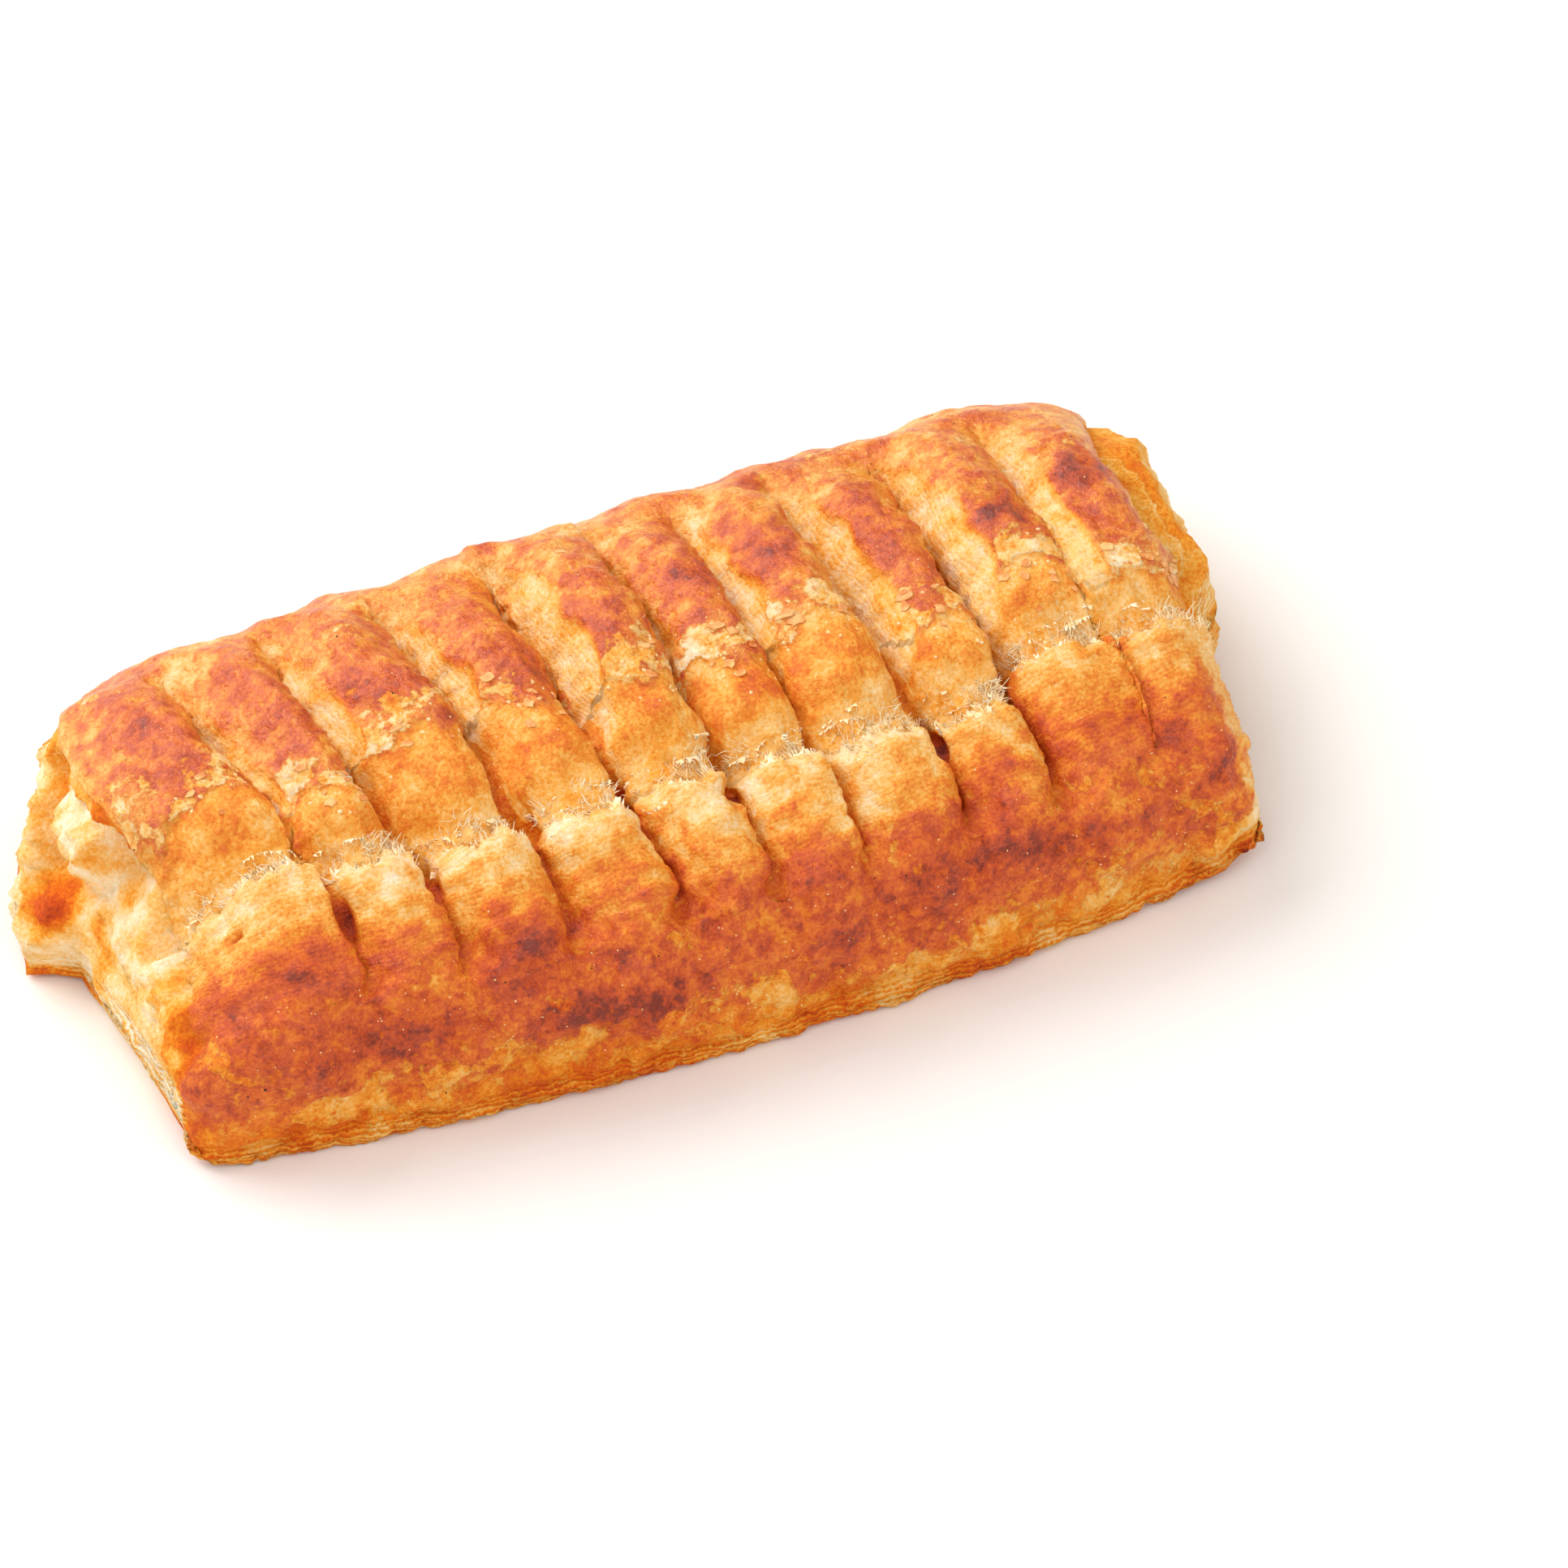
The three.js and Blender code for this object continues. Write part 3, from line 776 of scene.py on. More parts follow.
@dataclass(frozen=True)
class BakedDough:
    """Baked, egg-washed puff pastry: dough laminated with fat, glazed and browned in a dry oven.

    The browning fields run from raw cream crumb at 0, over golden layers, to dark caramelised skin at 1. The
    dough's field also holds painted shade in the slits, the torn valleys and the pits. The glaze gives the
    skin a soft shine, and torn crumb is matt. Thin layers let some light through. The skin ends along ragged
    edges, chips and cracked plates of it come off, and small blisters roughen it.

    Lengths named _mm are millimetres, and cell_warp is in metres. Real layers are 0.1 to 0.3 mm apart and
    crumb grain is as fine, which is too fine to show, so layer_mm and grain_mm draw them coarser.
    """

    name: str = "baked_dough"
    tones: tuple[tuple[float, str], ...] = (
        (0.00, "#fbe8c8"),
        (0.14, "#fad9a8"),
        (0.28, "#f7c578"),
        (0.42, "#f1a63c"),
        (0.54, "#e78318"),
        (0.66, "#da6412"),
        (0.78, "#c84c10"),
        (0.90, "#ac3c10"),
        (1.00, "#842a10"),
    )
    fields: tuple[str, ...] = (
        "browning_and_shade",
        "skin_tone",
        "skin_edge",
        "cut_edge",
        "flaking",
        "glaze",
        "shine",
        "layering",
        "layer",
    )
    cut_tone: float = 0.33
    mottle_mm: float = 3.0
    ragged_mm: float = 1.5
    chip_mm: float = 6.0
    cell_warp: tuple[float, float, float] = (0.002, 0.0014, 0.0017)
    blister_mm: float = 1.5
    plate_mm: float = 2.0
    grain_mm: float = 0.5
    speck_mm: float = 2.2
    layer_mm: float = 0.6
    relief_mm: float = 0.5
    relief_strength: float = 0.85
    ior: float = 1.48
    crumb_specular: float = 0.15
    glaze_specular: float = 0.85
    glaze_roughness: float = 0.34
    crumb_roughness: float = 0.75
    light_let_in: float = 0.2
    light_colour: tuple[float, float, float] = (1.0, 0.6, 0.3)
    light_mm: float = 1.0

    def waves(self) -> Recipe:
        """List the fields on the surface, and noise of five sizes.

        Returns:
            The first part of the recipe.
        """
        read = [(name, Kind.FIELD, {"attribute_name": name}, {}) for name in self.fields]
        sizes = (
            ("mottle", self.mottle_mm, 8.0, 0.64),
            ("grain", self.grain_mm, 3.0, 0.6),
            ("specks", self.speck_mm, 4.0, 0.7),
            ("rags", self.ragged_mm, 5.0, 0.65),
            ("coarse", self.chip_mm, 9.0, 0.66),
        )
        noises = []
        for name, size, octaves, rough in sizes:
            values = {"Vector": "place", "Scale": MM_PER_METRE / size, "Detail": octaves, "Roughness": rough}
            noises.append((name, Kind.NOISE, {}, values))
        return read + noises

    def shapes(self) -> Recipe:
        """Work out where skin, chips, plates, blisters and cut flanks are.

        The skin covers the dough where its edge field plus ragged noise is above 0, and a cut flank shows
        where its own field plus ragged noise is. Chips and cracked plates are where coarse noise plus the
        flaking field passes a limit. A plate is a cell away from its cell's edge, and a blister a rounded
        cell.

        Returns:
            The second part of the recipe.
        """
        adding = {"operation": "MULTIPLY_ADD"}
        times = {"operation": "MULTIPLY"}
        plates = {"Vector": "warped", "Scale": MM_PER_METRE / self.plate_mm}
        blisters = {"Vector": "warped", "Scale": MM_PER_METRE / self.blister_mm}
        return [
            ("ragged", Kind.MATH, adding, {0: "rags", 1: 3.0, 2: -1.5}),
            ("edge", Kind.MATH, {"operation": "ADD"}, {0: "skin_edge", 1: "ragged"}),
            ("skin", Kind.RANGE, {}, {"Value": "edge", "From Min": -0.1, "From Max": 0.15}),
            ("rising", Kind.RANGE, {}, {"Value": "edge", "From Min": 0.9, "From Max": 0.1}),
            ("pale_edge", Kind.MATH, times, {0: "rising", 1: "skin"}),
            ("loose", Kind.MATH, adding, {0: "flaking", 1: 0.2, 2: "coarse"}),
            ("chip", Kind.RANGE, {}, {"Value": "loose", "From Min": 0.695, "From Max": 0.705}),
            ("lifted", Kind.RANGE, {}, {"Value": "loose", "From Min": 0.678, "From Max": 0.692}),
            ("lip", Kind.MATH, {"operation": "SUBTRACT"}, {0: "lifted", 1: "chip"}),
            ("patch", Kind.RANGE, {}, {"Value": "loose", "From Min": 0.65, "From Max": 0.68}),
            ("warped", Kind.VECTOR, adding, {0: "rags", 1: self.cell_warp, 2: "place"}),
            ("cells", Kind.CELLS, {"feature": "DISTANCE_TO_EDGE"}, plates),
            ("whole", Kind.RANGE, {}, {"Value": "cells", "From Min": 0.01, "From Max": 0.12}),
            ("skin_patch", Kind.MATH, times, {0: "patch", 1: "skin"}),
            ("plates", Kind.MATH, times, {0: "whole", 1: "skin_patch"}),
            ("bubbles", Kind.CELLS, {"feature": "SMOOTH_F1"}, blisters),
            ("dome", Kind.RANGE, {}, {"Value": "bubbles", "From Min": 0.65, "From Max": 0.1}),
            ("blister", Kind.MATH, times, {0: "dome", 1: "glaze"}),
            ("ragged_cut", Kind.MATH, adding, {0: "ragged", 1: 0.6, 2: "cut_edge"}),
            ("cut", Kind.RANGE, {}, {"Value": "ragged_cut", "From Min": -0.75, "From Max": 0.65}),
            ("near_cut", Kind.RANGE, {}, {"Value": "ragged_cut", "From Min": -1.0, "From Max": -0.2}),
            ("uncut", Kind.MATH, {"operation": "SUBTRACT"}, {0: 1.0, 1: "cut"}),
            ("rim", Kind.MATH, times, {0: "near_cut", 1: "uncut"}),
        ]

    def colouring(self) -> Recipe:
        """Work out the tone, which starts from the two browning fields.

        Blisters are browner on top. Chips, plates and the skin's thin edge are paler, and chips are palest
        where the skin shines. The rim of a cut flank is browner. Mottling, grain, freckles on the glaze and
        layer lines vary all of it.

        Returns:
            The third part of the recipe.
        """
        adding = {"operation": "MULTIPLY_ADD"}
        times = {"operation": "MULTIPLY"}
        layer_turn = FULL_TURN / self.layer_mm
        return [
            ("covered", Kind.RANGE, {}, {"Value": "skin", "To Min": "browning_and_shade", "To Max": "skin_tone"}),
            ("domed", Kind.MATH, adding, {0: "blister", 1: 0.10, 2: "covered"}),
            ("paling", Kind.MATH, adding, {0: "shine", 1: -0.16, 2: -0.16}),
            ("chipped", Kind.MATH, adding, {0: "chip", 1: "paling", 2: "domed"}),
            ("lipped", Kind.MATH, adding, {0: "lip", 1: -0.16, 2: "chipped"}),
            ("plated", Kind.MATH, adding, {0: "plates", 1: -0.07, 2: "lipped"}),
            ("edged", Kind.MATH, adding, {0: "pale_edge", 1: -0.16, 2: "plated"}),
            ("rimmed", Kind.MATH, adding, {0: "rim", 1: 0.04, 2: "edged"}),
            ("crumb", Kind.MATH, adding, {0: "coarse", 1: 0.4, 2: self.cut_tone - 0.2}),
            ("opened", Kind.RANGE, {}, {"Value": "cut", "To Min": "rimmed", "To Max": "crumb"}),
            ("mottled", Kind.MATH, adding, {0: "mottle", 1: 0.62, 2: "opened"}),
            ("grained", Kind.MATH, adding, {0: "grain", 1: 0.50, 2: "mottled"}),
            ("freckle", Kind.RANGE, {}, {"Value": "specks", "From Min": 0.47, "From Max": 0.58}),
            ("on_glaze", Kind.MATH, times, {0: "freckle", 1: "glaze"}),
            ("freckled", Kind.MATH, adding, {0: "on_glaze", 1: 0.13, 2: "grained"}),
            ("level", Kind.MATH, {"operation": "SUBTRACT"}, {0: "freckled", 1: 0.61}),
            ("across", Kind.MATH, adding, {0: "mottle", 1: 2.2, 2: "layer"}),
            ("phase", Kind.MATH, times, {0: "across", 1: layer_turn}),
            ("wave", Kind.MATH, {"operation": "SINE"}, {0: "phase"}),
            ("lines", Kind.MATH, times, {0: "wave", 1: "layering"}),
            ("tone", Kind.MATH, adding, {0: "lines", 1: 0.17, 2: "level"}),
        ]

    def surface(self) -> Recipe:
        """Work out the roughness, the sheen and the fine relief.

        Roughness and sheen follow the glaze where it isn't cut or chipped.

        Returns:
            The last part of the recipe.
        """
        adding = {"operation": "MULTIPLY_ADD"}
        rough = {"Value": "gloss", "To Min": self.crumb_roughness, "To Max": self.glaze_roughness}
        sheen = {"Value": "gloss", "To Min": self.crumb_specular, "To Max": self.glaze_specular}
        return [
            ("dull", Kind.MATH, {"operation": "MAXIMUM"}, {0: "chip", 1: "cut"}),
            ("whole_glaze", Kind.MATH, adding, {0: "dull", 1: -0.7, 2: 1.0}),
            ("glazed", Kind.MATH, {"operation": "MULTIPLY"}, {0: "shine", 1: "whole_glaze"}),
            ("uneven", Kind.MATH, adding, {0: "mottle", 1: 0.8, 2: "glazed"}),
            ("gloss", Kind.MATH, {"operation": "SUBTRACT"}, {0: "uneven", 1: 0.4}),
            ("roughness", Kind.RANGE, {}, rough),
            ("sheen", Kind.RANGE, {}, sheen),
            ("fine", Kind.MATH, adding, {0: "grain", 1: 0.85, 2: "mottle"}),
            ("lined", Kind.MATH, adding, {0: "lines", 1: 0.22, 2: "fine"}),
            ("pitted", Kind.MATH, adding, {0: "chip", 1: -0.12, 2: "lined"}),
            ("raised", Kind.MATH, adding, {0: "lip", 1: 0.04, 2: "pitted"}),
            ("stepped", Kind.MATH, adding, {0: "skin", 1: 0.10, 2: "raised"}),
            ("bubbled", Kind.MATH, adding, {0: "blister", 1: 0.55, 2: "stepped"}),
            ("height", Kind.MATH, adding, {0: "plates", 1: 0.10, 2: "bubbled"}),
        ]

    def material(self) -> bpy.types.Material:
        """Make the finish: the recipe's tone picks the colour from the ramp, and its relief bends the light.

        Returns:
            The material.
        """
        material, tree, shader = new_material(self.name)
        made = follow(tree, self.waves() + self.shapes() + self.colouring() + self.surface())
        ramp = add_node(tree, "ShaderNodeValToRGB", {"Fac": made["tone"]})
        set_colours(ramp, self.tones)
        relief = {"Height": made["height"], "Distance": self.relief_mm * MM, "Strength": self.relief_strength}
        bump = add_node(tree, "ShaderNodeBump", relief)
        inputs = {
            "Base Color": ramp.outputs["Color"],
            "Roughness": made["roughness"],
            "Normal": bump.outputs["Normal"],
            "IOR": self.ior,
            "Specular IOR Level": made["sheen"],
            "Subsurface Weight": self.light_let_in,
            "Subsurface Radius": self.light_colour,
            "Subsurface Scale": self.light_mm * MM,
        }
        set_inputs(tree, shader, inputs)
        return material


@dataclass(frozen=True)
class PlainFinish:
    """One small thing's finish: a colour with slight, fine variation of its own.

    Fibres and crumbs are torn, dried crumb, pale and matt. Flakes are dry skin with a little shine, and
    pepper is dark and coarse.
    """

    name: str
    light: str
    dark: str
    roughness: float
    patch_mm: float = 0.8
    relief_mm: float = 0.1
    ior: float = 1.45

    def material(self) -> bpy.types.Material:
        """Make the finish: two tones mixed by fine noise, with a slight bump of the same noise.

        Returns:
            The material.
        """
        material, tree, shader = new_material(self.name)
        place = add_node(tree, "ShaderNodeTexCoord").outputs["Object"]
        size = {"Vector": place, "Scale": 1.0 / (self.patch_mm * MM), "Detail": 3.0}
        patches = add_node(tree, "ShaderNodeTexNoise", size).outputs["Fac"]
        ramp = add_node(tree, "ShaderNodeValToRGB", {"Fac": patches})
        set_colours(ramp, ((0.35, self.dark), (0.65, self.light)))
        bump = add_node(tree, "ShaderNodeBump", {"Height": patches, "Distance": self.relief_mm * MM})
        inputs = {
            "Base Color": ramp.outputs["Color"],
            "Normal": bump.outputs["Normal"],
            "Roughness": self.roughness,
            "IOR": self.ior,
        }
        set_inputs(tree, shader, inputs)
        return material


@dataclass(frozen=True)
class Blotch:
    """A place that browned more, or less where strength is negative, or a hole: its middle and half sizes, in
    mm.
    """

    x: float
    s: float
    half_x: float
    half_s: float
    strength: float


# Holes at the tears: sunk into the crust, and painted browner inside as shade
PITS = (
    Blotch(1.7, 37.4, 0.9, 1.5, 1.0),
    Blotch(-37.6, 38.3, 0.7, 2.2, 1.0),
    Blotch(-62.8, 38.5, 0.7, 0.6, 0.8),
    Blotch(-49.6, 35.5, 0.7, 2.4, 1.0),
    Blotch(-10.4, 42.5, 0.7, 1.2, 0.8),
    Blotch(-22.8, 42.0, 0.7, 2.2, 1.0),
    Blotch(29.2, 37.0, 0.7, 2.6, 0.9),
)

BLOTCHES = (
    # On the crests, from the left strip to the right one
    Blotch(-63.0, 74.0, 3.5, 5.0, 0.10),
    Blotch(-64.5, 57.5, 2.2, 2.0, 0.16),
    Blotch(-49.0, 59.0, 3.5, 4.0, 0.10),
    Blotch(-36.5, 65.5, 2.4, 4.0, 0.16),
    Blotch(-32.8, 61.0, 1.6, 1.8, 0.22),
    Blotch(-21.0, 64.0, 4.0, 6.0, 0.10),
    Blotch(-3.3, 68.5, 2.6, 1.2, 0.24),
    Blotch(-4.0, 60.0, 3.2, 4.0, 0.20),
    Blotch(7.2, 62.5, 3.5, 4.5, 0.10),
    Blotch(6.8, 52.8, 3.0, 1.8, 0.14),
    Blotch(18.5, 63.5, 2.6, 3.0, 0.12),
    Blotch(35.0, 60.5, 3.0, 4.0, 0.16),
    Blotch(33.0, 47.0, 1.8, 1.6, 0.20),
    Blotch(49.7, 61.0, 2.8, 2.0, 0.30),
    Blotch(47.5, 70.5, 4.0, 4.0, 0.08),
    Blotch(61.5, 64.6, 1.8, 3.4, 0.28),
    Blotch(66.0, 64.0, 1.8, 2.2, 0.20),
    Blotch(62.2, 56.0, 2.4, 2.6, 0.20),
    # On the lower strips and the band
    Blotch(-58.0, 29.5, 4.5, 3.5, 0.16),
    Blotch(-64.0, 19.0, 8.0, 6.0, 0.10),
    Blotch(-47.5, 18.5, 6.0, 4.0, 0.10),
    Blotch(-29.7, 27.0, 4.5, 3.5, 0.22),
    Blotch(-26.0, 16.0, 3.5, 2.6, 0.30),
    Blotch(-20.0, 15.8, 6.0, 2.6, 0.20),
    Blotch(-14.9, 14.5, 2.6, 2.4, 0.26),
    Blotch(10.0, 26.0, 4.0, 3.5, 0.16),
    Blotch(21.5, 27.5, 4.0, 3.0, 0.18),
    Blotch(34.0, 31.5, 2.8, 2.8, 0.24),
    Blotch(34.0, 20.5, 9.0, 4.0, 0.10),
    Blotch(50.0, 20.0, 7.0, 4.0, 0.06),
    Blotch(56.5, 28.0, 2.5, 2.5, 0.14),
    Blotch(63.0, 23.0, 3.5, 4.0, 0.14),
    Blotch(65.6, 3.0, 1.2, 0.9, 0.50),
    # Where the crust stayed light
    Blotch(-2.0, 9.0, 12.0, 4.0, -0.08),
    Blotch(24.0, 9.0, 16.0, 4.0, -0.04),
    Blotch(-52.0, 36.0, 3.0, 4.0, -0.08),
)



@dataclass
class BakedCrust:
    """The pastry's whole surface on a fine grid, with its relief, its browning and painted shade. Sizes in
    mm.
    """

    form: PuffForm
    columns_per_strip: int = 30
    ring_step: float = 0.45
    near_rings: int = 11
    far_rings: int = 16
    middle_points: int = 60
    warp_height: float = 0.8
    warp_mm: float = 9.0
    ragged_height: float = 2.6
    blister_mm: float = 3.4
    bubble_mm: float = 8.0
    blister_mean: float = 0.4
    rough_mm: float = 1.6
    swelling_mm: float = 8.5
    plate_height: float = 1.3
    pit_depth: float = 1.9
    pleat_depth: float = 1.7
    foot_layer_height: float = 0.28
    foot_layer_mm: float = 1.3
    end_layer_height: float = -0.45
    end_layer_mm: float = 1.25
    torn_tone: float = 0.48
    # Painted shade: the torn valley's tone, browner than the torn dough round it
    tear_valley_shade_tone: float = 0.40
    # Painted shade: the tones that the slits go to deep down
    slit_shade_tone: float = 0.56
    deep_slit_shade_tone: float = 0.74
    # Painted shade: how much browner the pits are
    pit_shade_tone: float = 0.36
    layer_tone: float = 0.24
    roll_tone: float = 0.28
    front_roll_tone: float = 0.66
    hollow_tone: float = 0.42
    filling_tone: float = 0.19
    tongue_tone: float = 0.24
    tongue_spot: float = 0.72
    lobe_tone: float = 0.39
    seed: int = 11

    def __post_init__(self) -> None:
        """Work out the grid: columns along X, rows round the section, and the fields at each point."""
        self.noise = Noise(self.seed)
        self.rows_t = np.concatenate(
            [index + np.arange(station.rows) / station.rows for index, station in enumerate(STATIONS)]
        )
        section_y, section_z = self.form.curved("y", self.rows_t), self.form.section_height(self.rows_t)
        steps = np.hypot(np.diff(section_y), np.diff(section_z))
        self.rows_s = np.concatenate([[0.0], np.cumsum(steps)])
        column = np.arange(STRIP_COUNT * self.columns_per_strip + 1)
        strip = np.minimum(column // self.columns_per_strip, STRIP_COUNT - 1)
        turn = column / self.columns_per_strip - strip
        self.body = self.form.body(*np.broadcast_arrays(strip[:, None], turn[:, None], self.rows_t[None, :]))
        near = self.ring_step * (1 + np.arange(self.near_rings))
        far = np.full(self.far_rings, self.ring_step * self.near_rings)
        depth = np.concatenate([near, far])
        far_share = (1 + np.arange(self.far_rings)) / (self.far_rings + 1)
        share = np.concatenate([np.zeros(self.near_rings), far_share])
        self.rings = len(depth)
        grid = np.broadcast_arrays(depth[:, None], share[:, None], self.rows_t[None, :])
        left, left_depth = self.form.face(-1, *grid)
        right, right_depth = self.form.face(1, *grid)
        self.base = np.concatenate([left[::-1], self.body.point, right])
        self.base = self.base + self.warp(self.base)
        flat = np.zeros(self.body.point.shape[:2])
        self.depth = np.concatenate([left_depth[::-1], flat, right_depth])
        self.work_out_fields()
        self.normal = self.normals(self.base)
        self.upright = smoothstep(np.abs(self.normal[..., 0]), 0.35, 0.75)
        self.point = self.base + self.offsets()
        self.normal = self.normals(self.point)

    def warp(self, p: np.ndarray) -> np.ndarray:
        """Work out a small sideways move, so that slits and edges wander. Nothing moves up or down.

        Args:
            p: The points.

        Returns:
            Each point's move.
        """
        size = self.warp_height * smoothstep(p[..., 2], 0.0, 10.0)
        along = size * self.noise.rough(p + 11.0, self.warp_mm, 2)
        across = size * self.noise.rough(p + 29.0, self.warp_mm, 2)
        return np.stack([along, across, 0.0 * size], axis=-1)

    def widened(self, values: np.ndarray) -> np.ndarray:
        """Return a field on the body's columns carried on over the rings of both end faces."""
        return np.pad(values, ((self.rings, self.rings), (0, 0)), mode="edge")

    def normals(self, point: np.ndarray) -> np.ndarray:
        """Work out outward normals: the cross product of the steps along the columns and round the rows.

        Args:
            point: The grid's points.

        Returns:
            A unit vector at each point.
        """
        along = np.gradient(point, axis=0)
        around = np.roll(point, -1, axis=1) - np.roll(point, 1, axis=1)
        return unit(np.cross(along, around))

    def work_out_fields(self) -> None:
        """Work out where each kind of surface is, each as a share from 0 to 1.

        The skin ends on each upper strip at a ragged line, with golden torn dough from there to the tear. A
        cut flank is the left side of a strip. The lower strips run from the tear to the band.
        """
        self.x = self.base[..., 0]
        self.t = self.widened(self.body.t)
        self.s = np.interp(self.t, self.rows_t, self.rows_s)
        self.y = self.widened(self.body.y)
        self.turn = self.widened(self.body.turn)
        self.behind = self.widened(self.body.behind)
        self.opening = self.widened(self.body.opening)
        self.flank = self.widened(self.body.flank)
        strip = self.widened(self.body.strip)
        slit = strip_values("depth")
        share = lerp(slit[strip], slit[strip + 1], self.turn)
        ragged = self.ragged_height * self.noise.rough(self.base, 6.0, 4)
        self.body_mask = (self.depth == 0.0).astype(float)
        self.face_mask = 1.0 - self.body_mask
        on_top = smoothstep(self.t, AT["slit mouth"] - 0.1, AT["slit mouth"] + 0.2)
        on_top = on_top * (self.t < AT["back"])
        ahead = 1.0 - smoothstep(self.behind, -0.6, 0.0)
        self.skin_edge = self.y - strip_values("skin_end")[strip] + ragged
        past = smoothstep(self.skin_edge, -0.3, 0.3) * (1.0 - ahead)
        behind_top = (self.t >= AT["back"]) * (self.t < AT["back edge"])
        self.skin = np.clip(np.where(on_top > 0.0, past, 0.0) + behind_top, 0.0, 1.0)
        self.lower = on_top * ahead
        self.torn = on_top * (1.0 - ahead) * (1.0 - past)
        self.band = 1.0 - smoothstep(self.t, AT["slit mouth"] - 0.2, AT["slit mouth"] + 0.3)
        across = 0.5 * (1.0 - np.cos(np.pi * self.turn))
        wide = strip_values("cut")[strip] * (1.0 + 0.3 * self.noise.at(self.base, 6.0))
        wide = 0.85 * wide * smoothstep(self.t, AT["slit root"] + 0.35, AT["slit root"] - 0.9)
        upper = self.opening * smoothstep(self.behind, 0.5, 3.0) * (self.body_mask > 0.0)
        low = 2.5 * smoothstep(-self.skin_edge, -3.0, 5.0)
        self.gully = self.opening * smoothstep(self.flank, 0.55, 1.0) * share
        # Deep in a slit the pale cut flank gives way, so that the slit's painted shade shows there
        deep = 6.0 * smoothstep(self.gully, 0.45, 1.0)
        self.cut_edge = np.where(upper > 0.3, 13.0 * (wide - across) - 0.3 - low - deep, -5.0)
        self.cut = upper * smoothstep(self.cut_edge, -0.2, 0.2)
        self.rim_line = upper * bell(self.cut_edge, -0.7, 0.6) * smoothstep(self.behind, 4.0, 9.0)
        self.valley = self.opening * bell(self.behind, 1.2, 2.2)
        self.pits = sum(bell(self.x, pit.x, pit.half_x) * bell(self.s, pit.s, pit.half_s) for pit in PITS)
        self.pits = self.pits * self.body_mask

    def relief(self) -> np.ndarray:
        """Work out the relief of the sides and the top, along the normal.

        It is rounded blisters on the skin and the band, plates with torn edges low on the band, streaks
        along the torn strips and across the lower ones, layers on the cut flanks and the foot, holes at the
        tears and pleats on the band.

        Returns:
            The height at each grid point, in mm.
        """
        noise, p = self.noise, self.base
        blisters = noise.blistered(p, self.blister_mm) - self.blister_mean
        bubbles = noise.blistered(p, self.bubble_mm) - self.blister_mean
        rough = noise.rough(p, self.rough_mm, 3)
        rooting = smoothstep(self.t, AT["crest"] + 0.3, AT["slit root"] + 0.3)
        swollen = 0.7 * noise.at(p + 17.0, self.swelling_mm) + 0.3 * noise.at(p, 5.0)
        swollen *= 1.0 - 0.7 * rooting
        calm = 1.0 - 0.6 * rooting
        bumps = 0.6 * blisters + 0.20 * rough + 0.6 * bubbles
        relief = self.skin * (calm * bumps + swollen)
        relief += self.band * (1.1 * bubbles + 0.50 * blisters + 0.26 * rough)
        relief += (self.torn + 0.6 * self.lower) * swollen + 2.0 * self.blotched() * (self.skin + self.band)
        low_band = self.band * (1.0 - smoothstep(self.s, 10.0, 22.0)) * smoothstep(self.s, 1.0, 4.0)
        low_band = low_band * (1.0 - smoothstep(np.abs(self.x), 64.0, 70.0))
        relief += low_band * self.plate_height * (noise.flaky(p * (0.6, 1.0, 1.2), 6.0, 5.0) - 0.5)
        relief += self.lower * (0.45 * noise.at(p, (5.0, 1.5, 1.5)) + 0.18 * rough)
        relief += self.torn * (0.25 * noise.at(p, (1.5, 6.0, 6.0)) + 0.16 * rough)
        relief -= self.opening * (1.0 - self.lower) * (1.0 - self.skin) * 0.3 * self.form.skin_step
        relief += self.cut * (0.18 * noise.at(p, (1.2, 7.0, 1.2)) + 0.2 * rough)
        relief += self.rim_line * 0.35
        relief += self.valley * (0.6 * noise.rough(p, 1.8, 3) - 0.3)
        relief += self.gully * (0.4 * noise.rough(p, 1.6, 2) - 0.6 * self.lower)
        relief -= self.pit_depth * self.pits
        pleats = self.band * smoothstep(self.s, 11.0, 24.0) * self.flank
        relief -= self.pleat_depth * pleats * (0.6 + 0.8 * noise.at(p, 9.0))
        foot = self.band * (1.0 - smoothstep(self.s, 3.0, 5.0))
        layers = np.sin(FULL_TURN * (self.s + 0.6 * noise.at(p, 7.0)) / self.foot_layer_mm)
        relief += foot * self.foot_layer_height * layers
        relief *= 1.0 - 0.6 * smoothstep(np.abs(self.x), 63.0, 70.0) * smoothstep(self.y, -8.0, 2.0)
        saddle = noise.blistered(p, 4.5) - self.blister_mean
        relief += self.saddle_share() * (1.5 * saddle + 0.3 * rough)
        return relief * (smoothstep(p[..., 2], 0.0, 0.8) * self.body_mask)

    def end_relief(self) -> np.ndarray:
        """Work out how far the end faces reach out further: their stacked layers, rough crumb and left folds.

        Returns:
            The reach at each grid point, in mm.
        """
        noise, p = self.noise, self.base
        x, y, z = np.moveaxis(p, -1, 0)
        layers = np.cos(FULL_TURN * (z + 0.8 * noise.at(p, 5.0)) / self.end_layer_mm)
        folds = 1.2 * noise.at(p, (9.0, 3.2, 1.6)) * smoothstep(y, 0.0, 5.0) * (x < 0.0)
        folds += 0.7 * noise.at(p, (6.0, 2.0, 0.9)) * smoothstep(y, -26.0, -18.0) * (x < 0.0)
        stacked = self.pale_layers() * self.end_layer_height * (0.5 + 0.5 * layers)
        stacked = stacked + 0.5 * noise.rough(p, 3.0, 4) + folds
        return stacked * (smoothstep(self.depth, 0.0, 1.5) * self.face_mask)

